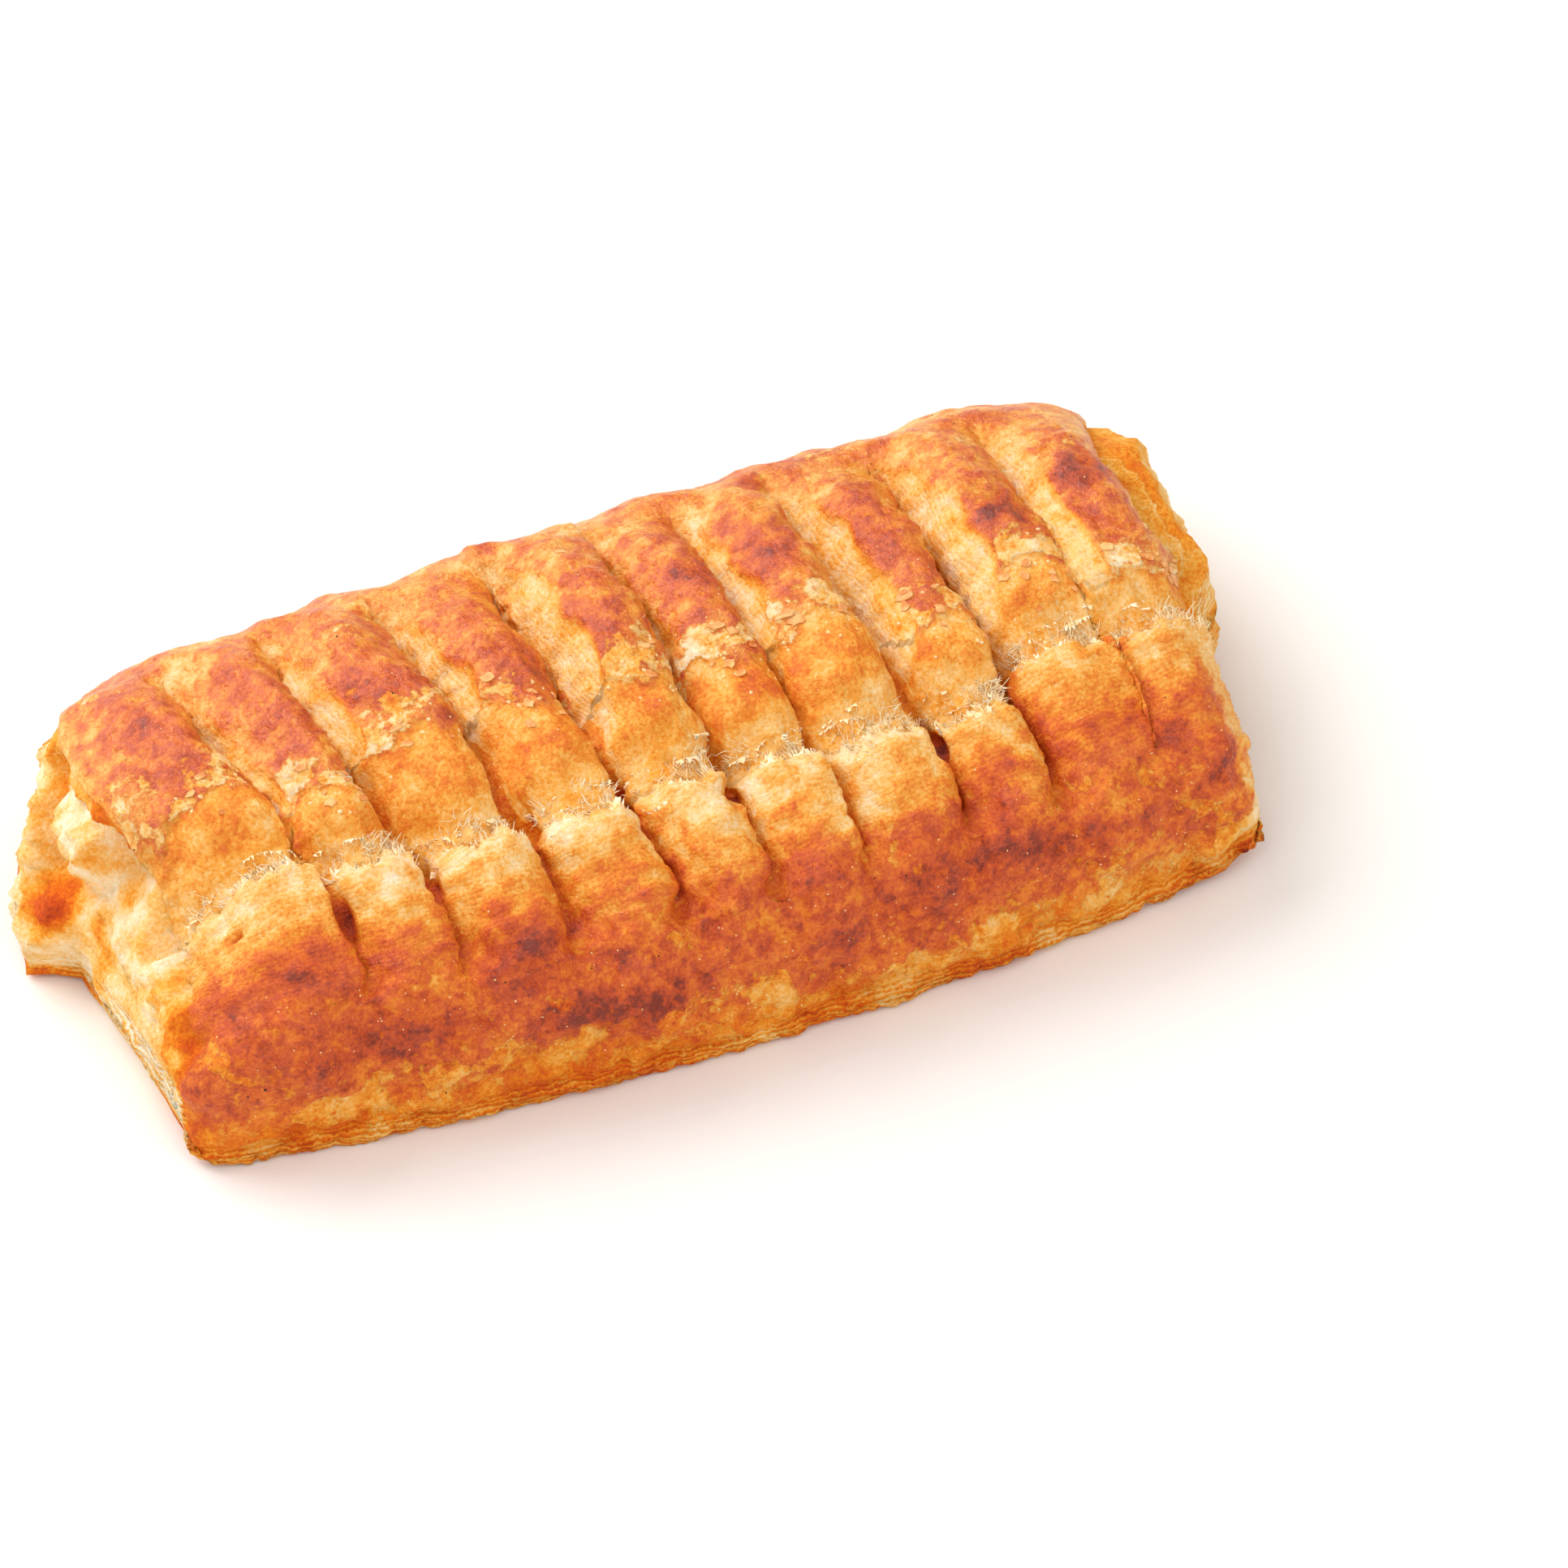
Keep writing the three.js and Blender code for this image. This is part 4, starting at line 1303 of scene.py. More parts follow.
    def offsets(self) -> np.ndarray:
        """Work out how far each point moves: along its normal by the relief, and on an end face also along X.

        An end face keeps the rim's own movement near its rim.

        Returns:
            Each point's move, in mm.
        """
        move = self.normal * self.relief()[..., None]
        rim_left, rim_right = move[self.rings], move[-1 - self.rings]
        fade = 1.0 - smoothstep(self.depth, 0.0, 2.5)
        move[: self.rings] = rim_left[None] * fade[: self.rings, :, None]
        move[-self.rings :] = rim_right[None] * fade[-self.rings :, :, None]
        move[..., 0] += np.sign(self.x) * self.end_relief()
        return move

    def pale_layers(self) -> np.ndarray:
        """Work out where an end face shows its stacked layers: in front, and on the left only low down.

        Returns:
            The share at each grid point.
        """
        y, z = self.base[..., 1], self.base[..., 2]
        left = 1.0 - smoothstep(z - self.form.left_edge(y), -1.0, 1.5)
        left = left * (1.0 - smoothstep(y, 0.0, 6.0))
        right = 1.0 - smoothstep(y, -14.0, -6.0)
        return np.where(self.x < 0.0, left, right * self.upright) * self.face_mask

    def skin_tone(self) -> np.ndarray:
        """Work out how browned the skin is: darkest on the crests, paler beside the slits, with blotches.

        Returns:
            The tone at each grid point, from 0 to 1.
        """
        top = {AT["tear"]: 0.54, AT["front slope"]: 0.62, AT["crest"]: 0.62, AT["slit root"]: 0.52}
        behind = {AT["spine"]: 0.50, AT["back"]: 0.52, AT["heel"]: 0.48, AT["back edge"]: 0.42}
        skin = between_stops(self.t, top | behind | {len(STATIONS): 0.50})
        skin = skin - 0.03 * smoothstep(self.x, 5.0, 35.0)
        inner = 1.0 - 0.8 * smoothstep(np.abs(self.x), 60.0, 66.0)
        skin = skin - 0.20 * smoothstep(np.abs(self.turn - 0.6), 0.12, 0.5) * self.opening * inner
        return np.clip(skin + self.patches() + self.blotched(), 0.0, 1.0)

    def patches(self) -> np.ndarray:
        """Work out the uneven heat of the oven: patches of two sizes with rather sharp edges.

        Returns:
            The change of tone at each grid point.
        """
        large = np.tanh(2.0 * self.noise.rough(self.base, 11.0, 5))
        small = np.tanh(1.6 * self.noise.rough(self.base + 50.0, 3.2, 3))
        return 0.10 * large + 0.08 * small

    def blotched(self) -> np.ndarray:
        """Work out the sum of the blotches, each a bump whose place wanders a little.

        Returns:
            The change of tone at each grid point.
        """
        warp = 1.4 * self.noise.rough(self.base, 4.0, 4)
        x, s = self.x + warp, self.s - warp
        spots = (
            spot.strength * bell(x, spot.x, spot.half_x) * bell(s, spot.s, spot.half_s) for spot in BLOTCHES
        )
        return sum(spots)

    def browning_and_shade(self) -> np.ndarray:
        """Work out how browned the dough is where no skin covers it: band, lower strips, torn dough and ends.
        In the slits, the torn valleys and the pits the tone is painted shade as well.

        Returns:
            The tone at each grid point, from 0 at raw crumb to 1 at scorched.
        """
        noise, p = self.noise, self.base
        low = {AT["front edge"]: 0.61, AT["foot"]: 0.67, AT["belly"]: 0.71}
        band = between_stops(self.t, low | {AT["shoulder"]: 0.71, AT["slit mouth"]: 0.65})
        band = band - 0.05 * smoothstep(self.x, 15.0, 45.0)
        further = 3.5 * smoothstep(self.x, 15.0, 50.0) + 2.0 * noise.rough(p, 7.0, 3)
        darkening = {0.0: 0.14, 2.0: 0.25, 5.0: 0.38, 9.0: 0.50, 13.0: 0.67}
        lower = between_stops(further - self.behind, darkening)
        torn = self.torn_tone + 0.03 * smoothstep(-self.x, 10.0, 40.0) + 0.16 * noise.rough(p, 6.0, 4)
        torn = torn - 0.22 * bell(self.behind, 0.5, 2.5)
        streaks = 0.14 * noise.at(p, (5.0, 1.5, 1.5)) + 0.08 * noise.rough(p, 2.2, 3)
        tone = lerp(band, lower + streaks, self.lower)
        tone = lerp(tone, torn, self.torn)
        tone = tone + self.patches() * np.clip(0.8 * self.band + 0.6 * self.lower, 0.0, 1.0)
        tone = tone + self.blotched() * (1.0 - 0.6 * self.torn)
        # Painted shade: the torn valley behind each tear goes browner, where shade falls in it
        tone = lerp(tone, self.tear_valley_shade_tone, 0.9 * self.valley)
        # Painted shade: deep in each slit the dough goes browner, most towards the slit root and between the
        # lower strips
        root = smoothstep(self.t, AT["crest"] + 0.4, AT["slit root"])
        slit_shade_tone = lerp(self.slit_shade_tone, self.deep_slit_shade_tone, np.maximum(root, self.lower))
        tone = lerp(tone, slit_shade_tone, 0.75 * self.gully)
        # Painted shade: the pits go browner inside as well as sinking
        tone = tone + self.pit_shade_tone * self.pits
        tone = lerp(tone, self.end_tone(), self.end_share())
        return np.clip(tone, 0.0, 1.0)

    def saddle_share(self) -> np.ndarray:
        """Return where the top sinks behind the left end of the band."""
        x, y, _ = np.moveaxis(self.base, -1, 0)
        return smoothstep(-x, 62.0, 68.0) * smoothstep(y, -27.0, -19.0) * (1.0 - smoothstep(y, -6.0, 0.0))

    def end_share(self) -> np.ndarray:
        """Work out where the ends' own tones hold: on the end faces, the right edge and the sunken left top.

        Returns:
            The share at each grid point.
        """
        x, y, z = np.moveaxis(self.base, -1, 0)
        edge = smoothstep(x + 0.8 * self.noise.rough(self.base, 3.0, 3), 64.7, 66.4)
        edge = edge * (1.0 - smoothstep(y, -8.0, -2.0)) * smoothstep(z, 3.0, 6.0)
        near = np.maximum(0.8 * self.saddle_share(), 0.85 * edge)
        # Near its rim an end face keeps the body's browner tone: a real brown edge to its layers, and painted
        # shade in the crevice there
        return np.maximum(self.face_mask * smoothstep(self.depth, 0.7, 2.0), near)

    def end_tone(self) -> np.ndarray:
        """Work out the ends' tones: pale layers, brown skin rolling over them, golden hollow and lobe, with
        painted shade along the lobe's rim and on the right end's layers.

        The soft filling is pale with golden strands, and the tongue is pale with one brown spot.

        Returns:
            The tone at each grid point.
        """
        noise, p = self.noise, self.base
        x, y, z = np.moveaxis(p, -1, 0)
        pale = self.layer_tone + 0.12 * noise.rough(p, 4.0, 4)
        over = smoothstep(z - self.form.left_edge(y) + 1.5 * noise.rough(p, 5.0, 3), -0.6, 1.2)
        rolled = lerp(self.roll_tone, self.front_roll_tone, smoothstep(-y, 22.0, 31.0))
        rolled = rolled + self.patches() + 0.30 * noise.at(p, 4.5)
        front = lerp(pale, rolled, over)
        filling = smoothstep(self.form.filling_ball(y, z), 0.0, 0.3)
        strands = 0.20 * noise.at(p, (9.0, 3.2, 1.6)) + 0.12 * noise.rough(p, 2.5, 4)
        strands = strands + 0.08 * noise.at(p, (6.0, 2.0, 0.7))
        hollow = self.hollow_tone + 0.1 * noise.rough(p, 4.0, 3)
        inner = lerp(hollow, self.filling_tone + 1.3 * strands, filling)
        low = 1.0 - smoothstep(z, 11.0, 15.0 + 1.1 * np.maximum(y - self.form.curl_start, 0.0))
        spot = self.tongue_spot * bell(z, 11.0, 3.2) * bell(y, 3.5, 5.5)
        tongue = self.tongue_tone + 0.16 * noise.rough(p, 4.0, 4) + spot
        behind = lerp(inner, tongue, low)
        left = lerp(front, behind, smoothstep(y, 0.0, 4.0))
        # Painted shade: the lobe is browner along its rim, in the groove under the last strip's edge
        rim = 1.0 - smoothstep(self.depth, 0.5, 2.5)
        lobe = self.lobe_tone + 0.08 * noise.rough(p, 6.0, 4) + 0.16 * rim
        # Partly painted shade: the right end's pale layers are a little browner than the left's, for the
        # shade on that face
        right = lerp(pale + 0.08, lobe, smoothstep(y, -21.0, -14.0))
        return np.where(x < 0.0, left, right)

    def glaze(self) -> np.ndarray:
        """Work out how glossy the crust is: egg-washed skin and band shine, torn dough hardly does.

        Returns:
            The share at each grid point.
        """
        shine = self.skin + self.band * smoothstep(self.s, 4.0, 12.0) + 0.45 * self.lower + 0.4 * self.torn
        shine = shine * (1.0 - self.cut) * (1.0 - self.valley)
        return np.clip(shine, 0.0, 1.0) * self.body_mask

    def skin_field(self) -> np.ndarray:
        """Work out how far the skin reaches past each place.

        Returns:
            The distance at each grid point in mm: above 0 is skin, below 0 is bare dough.
        """
        covered = np.where(self.t >= AT["spine"], 6.0, np.clip(self.skin_edge, -5.0, 6.0))
        bare = (self.behind < 0.3) | (self.t < AT["slit mouth"]) | (self.t > AT["back edge"])
        field = np.where(bare, -5.0, covered)
        wrap = 1.2 + 2.6 * (self.x < 0.0) * smoothstep(self.y, -8.0, 0.0)
        return lerp(field, -5.0, smoothstep(self.depth / wrap, 0.3, 1.0))

    def flaking(self) -> np.ndarray:
        """Work out how readily chips come off: near the skin's edges, on the band, and never on end faces.

        Returns:
            The share at each grid point, or less than 0 where none come off.
        """
        near_edge = bell(self.skin_edge, 2.5, 4.0) * (self.behind > 1.0)
        low = self.band * bell(self.s, 9.0, 6.0)
        field = np.clip(0.85 * near_edge + 0.5 * low + 0.2 * self.skin + 0.45 * self.band, 0.0, 1.0)
        return lerp(field, -1.0, np.clip(self.face_mask + self.valley + self.cut, 0.0, 1.0))

    def layering(self) -> tuple[np.ndarray, np.ndarray]:
        """Work out where thin layers show: on the foot and the end faces, and faintly on cut and torn dough.

        Returns:
            The share at each grid point, and the way across the layers in mm.
        """
        foot = self.band * (1.0 - smoothstep(self.s, 3.0, 6.0))
        shows = 0.22 * self.cut + 0.7 * foot + 0.15 * self.lower + 0.07 * self.torn
        across = np.where(foot + self.lower > 0.0, self.s, self.base[..., 2])
        across = np.where(self.torn > 0.5, 0.6 * self.x, across)
        across = np.where(self.face_mask > 0.0, self.base[..., 2], across)
        shows = shows * self.body_mask + self.pale_layers()
        return np.clip(shows, 0.0, 1.0), across

    def faces(self) -> list[np.ndarray]:
        """Join the grid's points by squares, and close each end face by triangles along its middle line.

        Returns:
            The vertex numbers of the squares and of the triangles.
        """
        columns, rows = self.point.shape[:2]
        index = np.arange(columns * rows).reshape(columns, rows)
        turned = np.roll(index, -1, axis=1)
        squares = np.stack([index[:-1], index[1:], turned[1:], turned[:-1]], axis=-1).reshape(-1, 4)
        first = columns * rows
        left = self.closing(index[0], first)
        right = self.closing(index[-1], first + self.middle_points)[:, ::-1]
        return [squares, np.concatenate([left, right])]

    def closing(self, ring: np.ndarray, first: int) -> np.ndarray:
        """Work out the triangles between an innermost ring and its middle line.

        Each ring edge goes to the line's nearest point, and where the nearest point moves on, a triangle
        fills each step between.

        Args:
            ring: The ring's vertex numbers.
            first: The vertex number of the line's first point.

        Returns:
            The triangles' vertex numbers.
        """
        span = self.form.middle_back - self.form.middle_front
        share = np.clip((self.form.curved("y", self.rows_t) - self.form.middle_front) / span, 0.0, 1.0)
        here = np.rint(share * (self.middle_points - 1)).astype(int)
        step = np.roll(here, -1) - here
        following = np.roll(ring, -1)
        fan = np.stack([ring, following, first + here], axis=-1)
        many = np.abs(step)
        row = np.repeat(np.arange(len(ring)), many)
        done = np.arange(many.sum()) - np.repeat(np.cumsum(many) - many, many)
        sign = np.sign(step)[row]
        at = first + here[row] + sign * done
        return np.concatenate([fan, np.stack([following[row], at + sign, at], axis=-1)])

    def middle_y(self) -> np.ndarray:
        """Return the places across the puff of the points of an end face's middle line."""
        return np.linspace(self.form.middle_front, self.form.middle_back, self.middle_points)

    def middle(self, side: int) -> np.ndarray:
        """Work out an end face's middle line.

        Args:
            side: -1 for the left end and 1 for the right.

        Returns:
            The line's points.
        """
        y = self.middle_y()
        z = np.full_like(y, self.form.middle_z)
        x = side * (self.form.strips_length / 2.0 + self.form.reach(side, y, z))
        return np.stack([x, y, z], axis=-1)

    def sample(self, strip: np.ndarray, turn: np.ndarray, t: np.ndarray) -> tuple[np.ndarray, np.ndarray]:
        """Find places on the finished surface, mixed from the four grid points around each.

        Args:
            strip: The strip's number.
            turn: The share of the way over the strip.
            t: The place round the section, counted in stations.

        Returns:
            The points and the normals.
        """
        column = self.rings + (strip + turn) * self.columns_per_strip
        row = np.interp(t, self.rows_t, np.arange(len(self.rows_t)))
        i = np.clip(np.floor(column).astype(int), 0, self.point.shape[0] - 2)
        j = np.clip(np.floor(row).astype(int), 0, self.point.shape[1] - 2)
        a, b = (column - i)[..., None], (row - j)[..., None]
        point, normal = (
            lerp(lerp(g[i, j], g[i + 1, j], a), lerp(g[i, j + 1], g[i + 1, j + 1], a), b)
            for g in (self.point, self.normal)
        )
        return point, unit(normal)

    def t_at(self, y: np.ndarray) -> np.ndarray:
        """Return the place on the top, in stations, at a distance y across the puff."""
        rows = (self.rows_t >= AT["shoulder"]) & (self.rows_t <= AT["spine"])
        return np.interp(y, self.form.curved("y", self.rows_t[rows]), self.rows_t[rows])

    def build(self, finish: BakedDough) -> bpy.types.Object:
        """Make the crust's piece, which stands for the plain pastry solid.

        A middle line's points take their fields from the innermost ring, at the row nearest across the puff.

        Args:
            finish: The finish.

        Returns:
            The piece.
        """
        points = np.concatenate([self.point.reshape(-1, 3), self.middle(-1), self.middle(1)])
        shows, across = self.layering()
        glaze = self.glaze()
        fields = {
            "browning_and_shade": self.browning_and_shade(),
            "skin_tone": self.skin_tone(),
            "skin_edge": self.skin_field(),
            "cut_edge": self.cut_edge,
            "flaking": self.flaking(),
            "glaze": glaze,
            "shine": glaze * (1.0 - 0.5 * self.band),
            "layering": shows,
            "layer": across,
        }
        upper = np.flatnonzero((self.rows_t > AT["foot"]) & (self.rows_t < AT["heel"]))
        section_y = self.form.curved("y", self.rows_t[upper])
        nearest = upper[np.abs(section_y[:, None] - self.middle_y()).argmin(axis=0)]
        padded = {
            key: np.concatenate([values.ravel(), values[0, nearest], values[-1, nearest]])
            for key, values in fields.items()
        }
        piece = make_piece("crust", points, self.faces(), finish.material(), padded)
        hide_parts("pastry")
        return piece


def turn_at(share: np.ndarray) -> np.ndarray:
    """Return the share of a strip's grid columns at a share of its width: they lie closer by its slits."""
    return np.arccos(1.0 - 2.0 * share) / np.pi


@dataclass
class TearFibres:
    """Pale fibres of dough that stand up in clumps along each tear, where the strip pulled apart. In mm."""

    crust: BakedCrust
    clumps_per_strip: int = 17
    per_clump: int = 13
    joints: int = 5
    sides: int = 3
    longest: float = 2.6
    shortest: float = 0.9
    clump_width: float = 0.8
    root_radius: float = 0.11
    tip_radius: float = 0.03
    root_depth: float = 0.2
    backward_share: float = 0.7
    stray: float = 0.22
    seed: int = 23

    def build(self, finish: PlainFinish) -> bpy.types.Object:
        """Make all fibres as one piece.

        A clump has a place along its strip's tear, a lean and a length of its own, and its fibres stray from
        them. A fibre is a tapered tube along root + way * f + bend * f squared, with f from 0 to 1.

        Args:
            finish: The finish.

        Returns:
            The piece.
        """
        rng = np.random.default_rng(self.seed)
        clumps = STRIP_COUNT * self.clumps_per_strip
        count = clumps * self.per_clump
        strip = np.repeat(np.arange(STRIP_COUNT), self.clumps_per_strip)
        share = rng.uniform(0.06, 0.94, clumps)
        ahead = rng.normal(0.4, 0.9, clumps)
        backward = np.where(rng.random(clumps) < self.backward_share, 0.8, -0.55)
        lean = rng.normal(0.0, 0.45, (clumps, 3)) + backward[:, None] * (0.0, 1.0, 0.0)
        length = rng.uniform(self.shortest, self.longest, clumps)
        strip, share, ahead, length = (np.repeat(v, self.per_clump) for v in (strip, share, ahead, length))
        lean = np.repeat(lean, self.per_clump, axis=0)
        aside = rng.normal(0.0, self.clump_width, count) / STRIP_WIDTHS[strip]
        share = np.clip(share + aside, 0.02, 0.98)
        y = TEAR_Y + strip_values("tear")[strip] + ahead + rng.normal(0.0, 0.35, count)
        root, normal = self.crust.sample(strip, turn_at(share), self.crust.t_at(y))
        length = (length * rng.uniform(0.45, 1.0, count))[:, None]
        way = unit(lean + 0.75 * normal + rng.normal(0.0, self.stray, (count, 3))) * length
        bend = rng.normal(0.0, self.stray, (count, 3)) * length
        f = np.linspace(0.0, 1.0, self.joints)[None, :, None]
        line = root[:, None] - self.root_depth * normal[:, None] + way[:, None] * f + bend[:, None] * f * f
        radius = lerp(self.root_radius, self.tip_radius, f) * rng.uniform(0.6, 1.3, (count, 1, 1))
        return make_piece("tear_fibres", *tubes(line, radius, self.sides), finish.material())


def tubes(line: np.ndarray, radius: np.ndarray, sides: int) -> tuple[np.ndarray, list[np.ndarray]]:
    """Work out many closed tubes at once.

    Each joint of a line has a ring of points at radius * (across cos a + up sin a), where across and up are
    square to the line. The rings are joined by squares and each end is closed by one face.

    Args:
        line: The centre lines: tubes, joints and x, y, z.
        radius: The radius at each joint.
        sides: The number of points round the tube.

    Returns:
        The points and the faces.
    """
    count, joints = line.shape[:2]
    along = unit(np.gradient(line, axis=1))
    across = unit(np.cross(along, np.array([0.31, 0.17, 0.94])))
    up = np.cross(along, across)
    angle = (FULL_TURN * np.arange(sides) / sides)[None, None, :, None]
    ring = across[:, :, None] * np.cos(angle) + up[:, :, None] * np.sin(angle)
    points = line[:, :, None] + radius[..., None] * ring
    index = np.arange(count * joints * sides).reshape(count, joints, sides)
    turned = np.roll(index, -1, axis=2)
    walls = np.stack([index[:, :-1], turned[:, :-1], turned[:, 1:], index[:, 1:]], axis=-1).reshape(-1, 4)
    caps = np.concatenate([index[:, 0, ::-1], index[:, -1]])
    return points, [walls, caps]


@dataclass
class TornLips:
    """The dough's own layers where they tore: thin, pale, spiky sheets that stand along each tear. In mm."""

    crust: BakedCrust
    layers: int = 6
    across: int = 110
    joints: int = 4
    tallest: float = 1.5
    shortest: float = 0.15
    thickness: float = 0.12
    rim_share: float = 0.2
    root_depth: float = 0.25
    nearest: float = -1.8
    farthest: float = 2.4
    smoothing: int = 8
    seed: int = 19

    def build(self, finish: PlainFinish) -> bpy.types.Object:
        """Make all sheets as one piece.

        A sheet's height along its tear is a slow wave times random spikes. A point lies at
        root + way * f + bend * f squared, with f from 0 at the root to 1 at the rim. The sheet's two sides
        lie half a thickness to either side of that, which shrinks to rim_share at the rim, and are joined
        all round.

        Args:
            finish: The finish.

        Returns:
            The piece.
        """
        rng = np.random.default_rng(self.seed)
        shape = (STRIP_COUNT * self.layers, self.across)
        strip = np.broadcast_to(np.repeat(np.arange(STRIP_COUNT), self.layers)[:, None], shape)
        share = np.broadcast_to(np.linspace(0.05, 0.95, self.across), shape)
        behind = np.tile(np.linspace(self.nearest, self.farthest, self.layers), STRIP_COUNT)[:, None]
        uneven = 0.6 * np.sin(5.0 * share + 6.3 * rng.random((shape[0], 1)))
        y = TEAR_Y + strip_values("tear")[strip] + behind + uneven + 0.4 * rng.normal(size=(shape[0], 1))
        root, normal = self.crust.sample(strip, turn_at(share), self.crust.t_at(y))
        loose = rng.random((3, *shape))
        steps = range(-self.smoothing, self.smoothing + 1)
        slow = smoothstep(sum(np.roll(loose, step, axis=2) for step in steps) / len(steps), 0.42, 0.60)
        height = lerp(self.shortest, self.tallest, slow[0] * rng.random(shape) ** 1.3)[..., None]
        aside = 1.8 * (slow[1] - 0.5)
        forward = np.where(behind > 0.8, -0.8, 1.0) + 0.0 * share
        way = unit(np.stack([aside, forward, 0.0 * share], axis=-1) + 0.55 * normal)
        bend = (0.8 * (slow[2] - 0.5) + 0.25 * rng.normal(size=shape))[..., None] * np.array([0.3, 1.0, 0.0])
        f = np.linspace(0.0, 1.0, self.joints)[:, None]
        risen = height[:, :, None] * (way[:, :, None] * f + bend[:, :, None] * f * f)
        line = root[:, :, None] - self.root_depth * normal[:, :, None] + risen
        facing = unit(np.cross(np.array([1.0, 0.0, 0.0]), way))[:, :, None]
        half = 0.5 * self.thickness * lerp(1.0, self.rim_share, f)
        both = np.stack([line + facing * half, line - facing * half], axis=1)
        return make_piece("torn_lips", both, self.faces(both.shape[:4]), finish.material())

    def faces(self, shape: tuple[int, int, int, int]) -> list[np.ndarray]:
        """Join the sheets' points: both sides, the rim, the root and the two ends.

        Args:
            shape: The number of sheets, sides, places along a sheet and joints.

        Returns:
            The squares' vertex numbers.
        """
        index = np.arange(np.prod(shape)).reshape(shape)
        front, back = index[:, 0], index[:, 1]
        squares = [
            [front[:, :-1, :-1], front[:, 1:, :-1], front[:, 1:, 1:], front[:, :-1, 1:]],
            [back[:, :-1, 1:], back[:, 1:, 1:], back[:, 1:, :-1], back[:, :-1, :-1]],
            [front[:, :-1, -1], front[:, 1:, -1], back[:, 1:, -1], back[:, :-1, -1]],
            [front[:, 1:, 0], front[:, :-1, 0], back[:, :-1, 0], back[:, 1:, 0]],
            [front[:, 0, :-1], front[:, 0, 1:], back[:, 0, 1:], back[:, 0, :-1]],
            [front[:, -1, 1:], front[:, -1, :-1], back[:, -1, :-1], back[:, -1, 1:]],
        ]
        return [np.stack(corners, axis=-1).reshape(-1, 4) for corners in squares]


@dataclass
class SkinFlakes:
    """Thin plates of skin that came loose and curl up where the skin ends. In mm."""

    crust: BakedCrust
    count: int = 60
    corners: int = 11
    rings: int = 3
    smallest: float = 0.4
    largest: float = 1.3
    thickness: float = 0.08
    clearance: float = 0.06
    curl: float = 0.22
    seed: int = 41

    def build(self, finish: PlainFinish) -> bpy.types.Object:
        """Make all flakes as one piece.

        A flake's outline is a ring at uneven distances from its middle. Its points lie on the crust, raised
        by curl times the square of the way out. Its underside lies one thickness lower, joined along the rim.

        Args:
            finish: The finish.

        Returns:
            The piece.
        """
        rng = np.random.default_rng(self.seed)
        count = self.count
        strip = rng.integers(0, STRIP_COUNT, count)
        middle_t = self.crust.t_at(strip_values("skin_end")[strip] + rng.normal(0.5, 2.6, count))
        middle_share = rng.uniform(0.2, 0.9, count)[:, None, None]
        size = rng.uniform(self.smallest, self.largest, count)[:, None, None]
        angle = FULL_TURN * np.arange(self.corners) / self.corners
        uneven = rng.uniform(0.45, 1.0, (count, self.corners))[:, None, :]
        ring = np.linspace(0.15, 1.0, self.rings + 1)[None, :, None]
        reach = size * uneven * ring
        width = STRIP_WIDTHS[strip][:, None, None]
        share = np.clip(middle_share + reach * np.cos(angle) / width, 0.02, 0.98)
        middle_s = np.interp(middle_t, self.crust.rows_t, self.crust.rows_s)[:, None, None]
        t = np.interp(middle_s + 0.7 * reach * np.sin(angle), self.crust.rows_s, self.crust.rows_t)
        strips = np.broadcast_to(strip[:, None, None], share.shape)
        point, normal = self.crust.sample(strips, turn_at(share), t)
        flat = unit(normal.mean(axis=(1, 2), keepdims=True))
        raised = self.curl * rng.uniform(0.2, 1.0, (count, 1, 1)) * ring**2 * (1.0 + 0.6 * np.cos(angle))
        top = point + flat * (raised + self.clearance)[..., None]
        both = np.stack([top, top - flat * self.thickness], axis=1)
        return make_piece("skin_flakes", both, self.faces(both.shape[:4]), finish.material())

    def faces(self, shape: tuple[int, int, int, int]) -> list[np.ndarray]:
        """Join the flakes' points: both plates, the rim and the two middles.

        Args:
            shape: The number of flakes, sides, rings and corners.

        Returns:
            The vertex numbers of the squares and of the middles.
        """
        index = np.arange(np.prod(shape)).reshape(shape)
        turned = np.roll(index, -1, axis=3)
        inner, outer = slice(None, -1), slice(1, None)
        around = [index[:, :, inner], index[:, :, outer], turned[:, :, outer], turned[:, :, inner]]
        plates = np.stack(around, axis=-1)
        rim = np.stack([index[:, 0, -1], index[:, 1, -1], turned[:, 1, -1], turned[:, 0, -1]], axis=-1)
        squares = [group.reshape(-1, 4) for group in (plates[:, 0], plates[:, 1, ..., ::-1], rim)]
        middles = np.concatenate([index[:, 0, 0], index[:, 1, 0, ::-1]])
        return [*squares, middles]


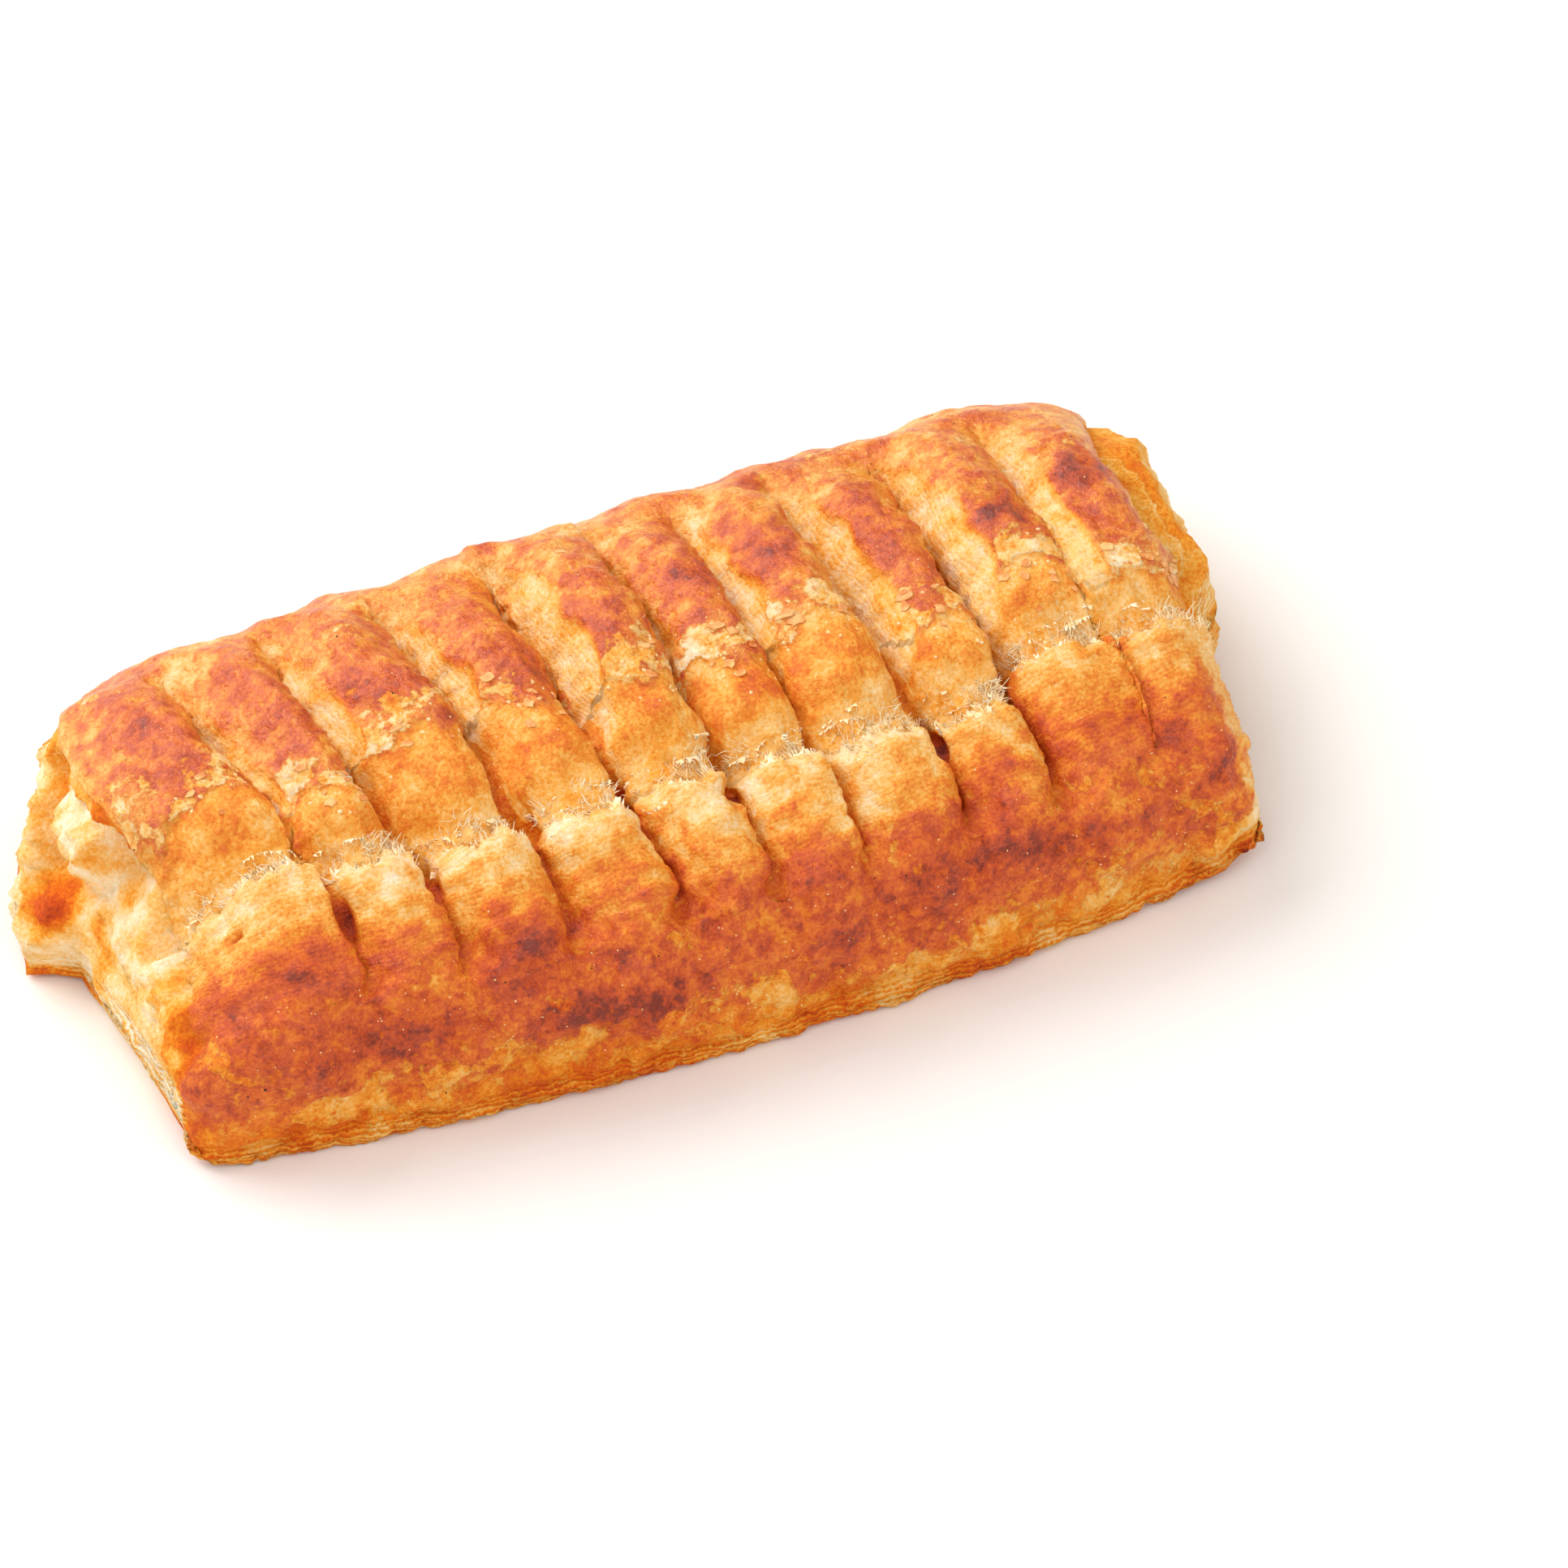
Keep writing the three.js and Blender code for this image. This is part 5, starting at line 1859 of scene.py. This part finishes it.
@dataclass
class Scatter:
    """Many small lumps on the surface, each an uneven ball of 20 faces. In mm.

    flatten is the share of its height that a lump keeps, and sink the share of its radius that it lies
    below the surface.
    """

    name: str
    crust: BakedCrust
    count: int
    smallest: float
    largest: float
    flatten: float
    seed: int
    sink: float = 0.1

    def places(self, rng: np.random.Generator) -> tuple[np.ndarray, np.ndarray, np.ndarray]:
        """Return each lump's strip, share of the way over it and place round the section: anywhere on top."""
        strip = rng.integers(0, STRIP_COUNT, self.count)
        return strip, rng.uniform(0.0, 1.0, self.count), rng.uniform(1.0, AT["back"], self.count)

    def build(self, finish: PlainFinish) -> bpy.types.Object:
        """Make all lumps as one piece.

        A lump is a 20-faced ball with its points at random distances. What it has along the surface's normal
        shrinks to the share flatten, and the whole sinks in by the share sink of its radius.

        Args:
            finish: The finish.

        Returns:
            The piece.
        """
        rng = np.random.default_rng(self.seed)
        point, normal = self.crust.sample(*self.places(rng))
        golden = (1.0 + math.sqrt(5.0)) / 2.0
        corners = (
            [(-1, golden, 0), (1, golden, 0), (-1, -golden, 0), (1, -golden, 0)]
            + [(0, -1, golden), (0, 1, golden), (0, -1, -golden), (0, 1, -golden)]
            + [(golden, 0, -1), (golden, 0, 1), (-golden, 0, -1), (-golden, 0, 1)]
        )
        sides = np.array(
            [(0, 11, 5), (0, 5, 1), (0, 1, 7), (0, 7, 10), (0, 10, 11), (1, 5, 9), (5, 11, 4), (11, 10, 2)]
            + [(10, 7, 6), (7, 1, 8), (3, 9, 4), (3, 4, 2), (3, 2, 6), (3, 6, 8), (3, 8, 9), (4, 9, 5)]
            + [(2, 4, 11), (6, 2, 10), (8, 6, 7), (9, 8, 1)]
        )
        ball = unit(np.array(corners, float))
        radius = rng.uniform(self.smallest, self.largest, (self.count, 1, 1)) / 2.0
        spread = ball[None] * rng.uniform(0.65, 1.2, (self.count, len(ball), 1)) * radius
        high = np.sum(spread * normal[:, None], axis=-1, keepdims=True)
        spread = spread - (1.0 - self.flatten) * high * normal[:, None]
        lumps = point[:, None] + spread - self.sink * radius * normal[:, None]
        faces = (len(ball) * np.arange(self.count))[:, None, None] + sides[None]
        return make_piece(self.name, lumps, [faces.reshape(-1, 3)], finish.material())


@dataclass
class SkinCrumbs(Scatter):
    """Pale crumbs where the browned skin tore."""

    def places(self, rng: np.random.Generator) -> tuple[np.ndarray, np.ndarray, np.ndarray]:
        """Work out places near each strip's skin end.

        Args:
            rng: The source of random numbers.

        Returns:
            Each crumb's strip, share of the way over it and place round the section.
        """
        strip = rng.integers(0, STRIP_COUNT, self.count)
        y = strip_values("skin_end")[strip] + rng.normal(0.0, 2.5, self.count)
        return strip, rng.uniform(0.25, 0.92, self.count), self.crust.t_at(y)


class Softness(Enum):
    """How large a studio light is, in metres, which makes its shadows softer."""

    KEY = 0.9
    FILL = 1.4


@dataclass(frozen=True)
class Softbox:
    """A square studio light one metre from the puff: where it stands, its size and its watts."""

    name: str
    azimuth: float
    elevation: float
    size: Softness
    power: float


@dataclass
class Studio:
    """A pale floor, soft lights and the camera at the photograph's angle. In metres and degrees."""

    azimuth: float = -24.7
    elevation: float = 45.0
    lens: float = 500.0
    sensor: float = 36.0
    frame_width: float = 0.1945
    aim: tuple[float, float, float] = (0.01808, -0.00245, 0.0058)
    floor_size: float = 6.0
    floor_colour: str = "#f4f2ef"
    floor_roughness: float = 0.9
    world_colour: str = "#fff7ee"
    world_strength: float = 0.3
    lights: tuple[Softbox, ...] = (
        Softbox("key", -78.0, 54.0, Softness.KEY, 1.8),
        Softbox("back", -150.0, 42.0, Softness.KEY, 10.5),
        Softbox("front", -27.0, 38.0, Softness.FILL, 5.0),
        Softbox("side", 64.0, 40.0, Softness.FILL, 5.6),
    )

    def turned_to(
        self, name: str, data: bpy.types.ID, aim: Vector, azimuth: float, elevation: float, distance: float
    ) -> bpy.types.Object:
        """Put a camera or a light at a distance from a place, turned to it.

        Args:
            name: The object's name.
            data: The camera or the light.
            aim: The place.
            azimuth: Where the object stands round the place, from the front to the right.
            elevation: How high it stands.
            distance: How far off it stands.

        Returns:
            The object.
        """
        a, e = math.radians(azimuth), math.radians(elevation)
        back = Vector((math.sin(a) * math.cos(e), -math.cos(a) * math.cos(e), math.sin(e)))
        item = bpy.data.objects.new(name, data)
        bpy.context.scene.collection.objects.link(item)
        item.location = aim + back * distance
        item.rotation_mode = "QUATERNION"
        item.rotation_quaternion = (-back).to_track_quat("-Z", "Y")
        return item

    def build_camera(self) -> None:
        """Make the camera, as far off as its lens needs for the frame's width."""
        data = bpy.data.cameras.new("camera")
        data.lens = self.lens
        data.sensor_width = self.sensor
        distance = self.frame_width * self.lens / self.sensor
        camera = self.turned_to("camera", data, Vector(self.aim), self.azimuth, self.elevation, distance)
        bpy.context.scene.camera = camera

    def build_floor(self) -> None:
        """Make the floor: one large matt square of pale paper."""
        half = self.floor_size / 2.0
        corners = [(-half, -half, 0), (half, -half, 0), (half, half, 0), (-half, half, 0)]
        mesh = bpy.data.meshes.new("floor")
        mesh.from_pydata(corners, [], [(0, 1, 2, 3)])
        paper, tree, shader = new_material("pale_paper")
        set_inputs(tree, shader, {"Base Color": srgb(self.floor_colour), "Roughness": self.floor_roughness})
        mesh.materials.append(paper)
        floor = bpy.data.objects.new("floor", mesh)
        bpy.context.scene.collection.objects.link(floor)

    def build_lights(self) -> None:
        """Make the softboxes and the even light from all round."""
        world = bpy.data.worlds.new("studio")
        world.use_nodes = True
        even = {"Color": srgb(self.world_colour), "Strength": self.world_strength}
        set_inputs(world.node_tree, world.node_tree.nodes["Background"], even)
        bpy.context.scene.world = world
        for box in self.lights:
            data = bpy.data.lights.new(box.name, "AREA")
            data.size = box.size.value
            data.energy = box.power
            self.turned_to(box.name, data, Vector(), box.azimuth, box.elevation, 1.0)
        bpy.context.scene.view_settings.view_transform = "Standard"


def main() -> None:
    """Load the frame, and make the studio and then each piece."""
    logging.basicConfig(level=logging.INFO, format="%(message)s")
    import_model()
    studio = Studio()
    studio.build_camera()
    studio.build_floor()
    studio.build_lights()
    crust = BakedCrust(PuffForm())
    crust.build(BakedDough())
    fibre = PlainFinish("torn_fibre", "#fff3d6", "#ffe2a4", 0.7)
    crumb = PlainFinish("dry_crumb", "#fbdca6", "#f3bf78", 0.75)
    pepper = PlainFinish("ground_pepper", "#4a3524", "#1d130d", 0.8, patch_mm=0.2)
    flake = PlainFinish("dry_skin_flake", "#f7bd78", "#e28a42", 0.5, patch_mm=1.5)
    TearFibres(crust).build(fibre)
    TornLips(crust).build(fibre)
    SkinFlakes(crust).build(flake)
    glint_beads = Scatter("glaze_beads_painted_glints", crust, count=700, smallest=0.14, largest=0.34, flatten=0.7, seed=43)
    crumbs = SkinCrumbs("skin_crumbs", crust, count=150, smallest=0.3, largest=0.8, flatten=0.5, seed=31)
    specks = Scatter("pepper_specks", crust, count=60, smallest=0.18, largest=0.42, flatten=0.6, seed=37)
    # Pale beads of dried glaze, matt with the crumb's finish: partly the glaze's own pale bubbles, partly
    # painted highlights for its glints
    glint_beads.build(crumb)
    crumbs.build(crumb)
    specks.build(pepper)


if __name__ == "__main__":
    main()
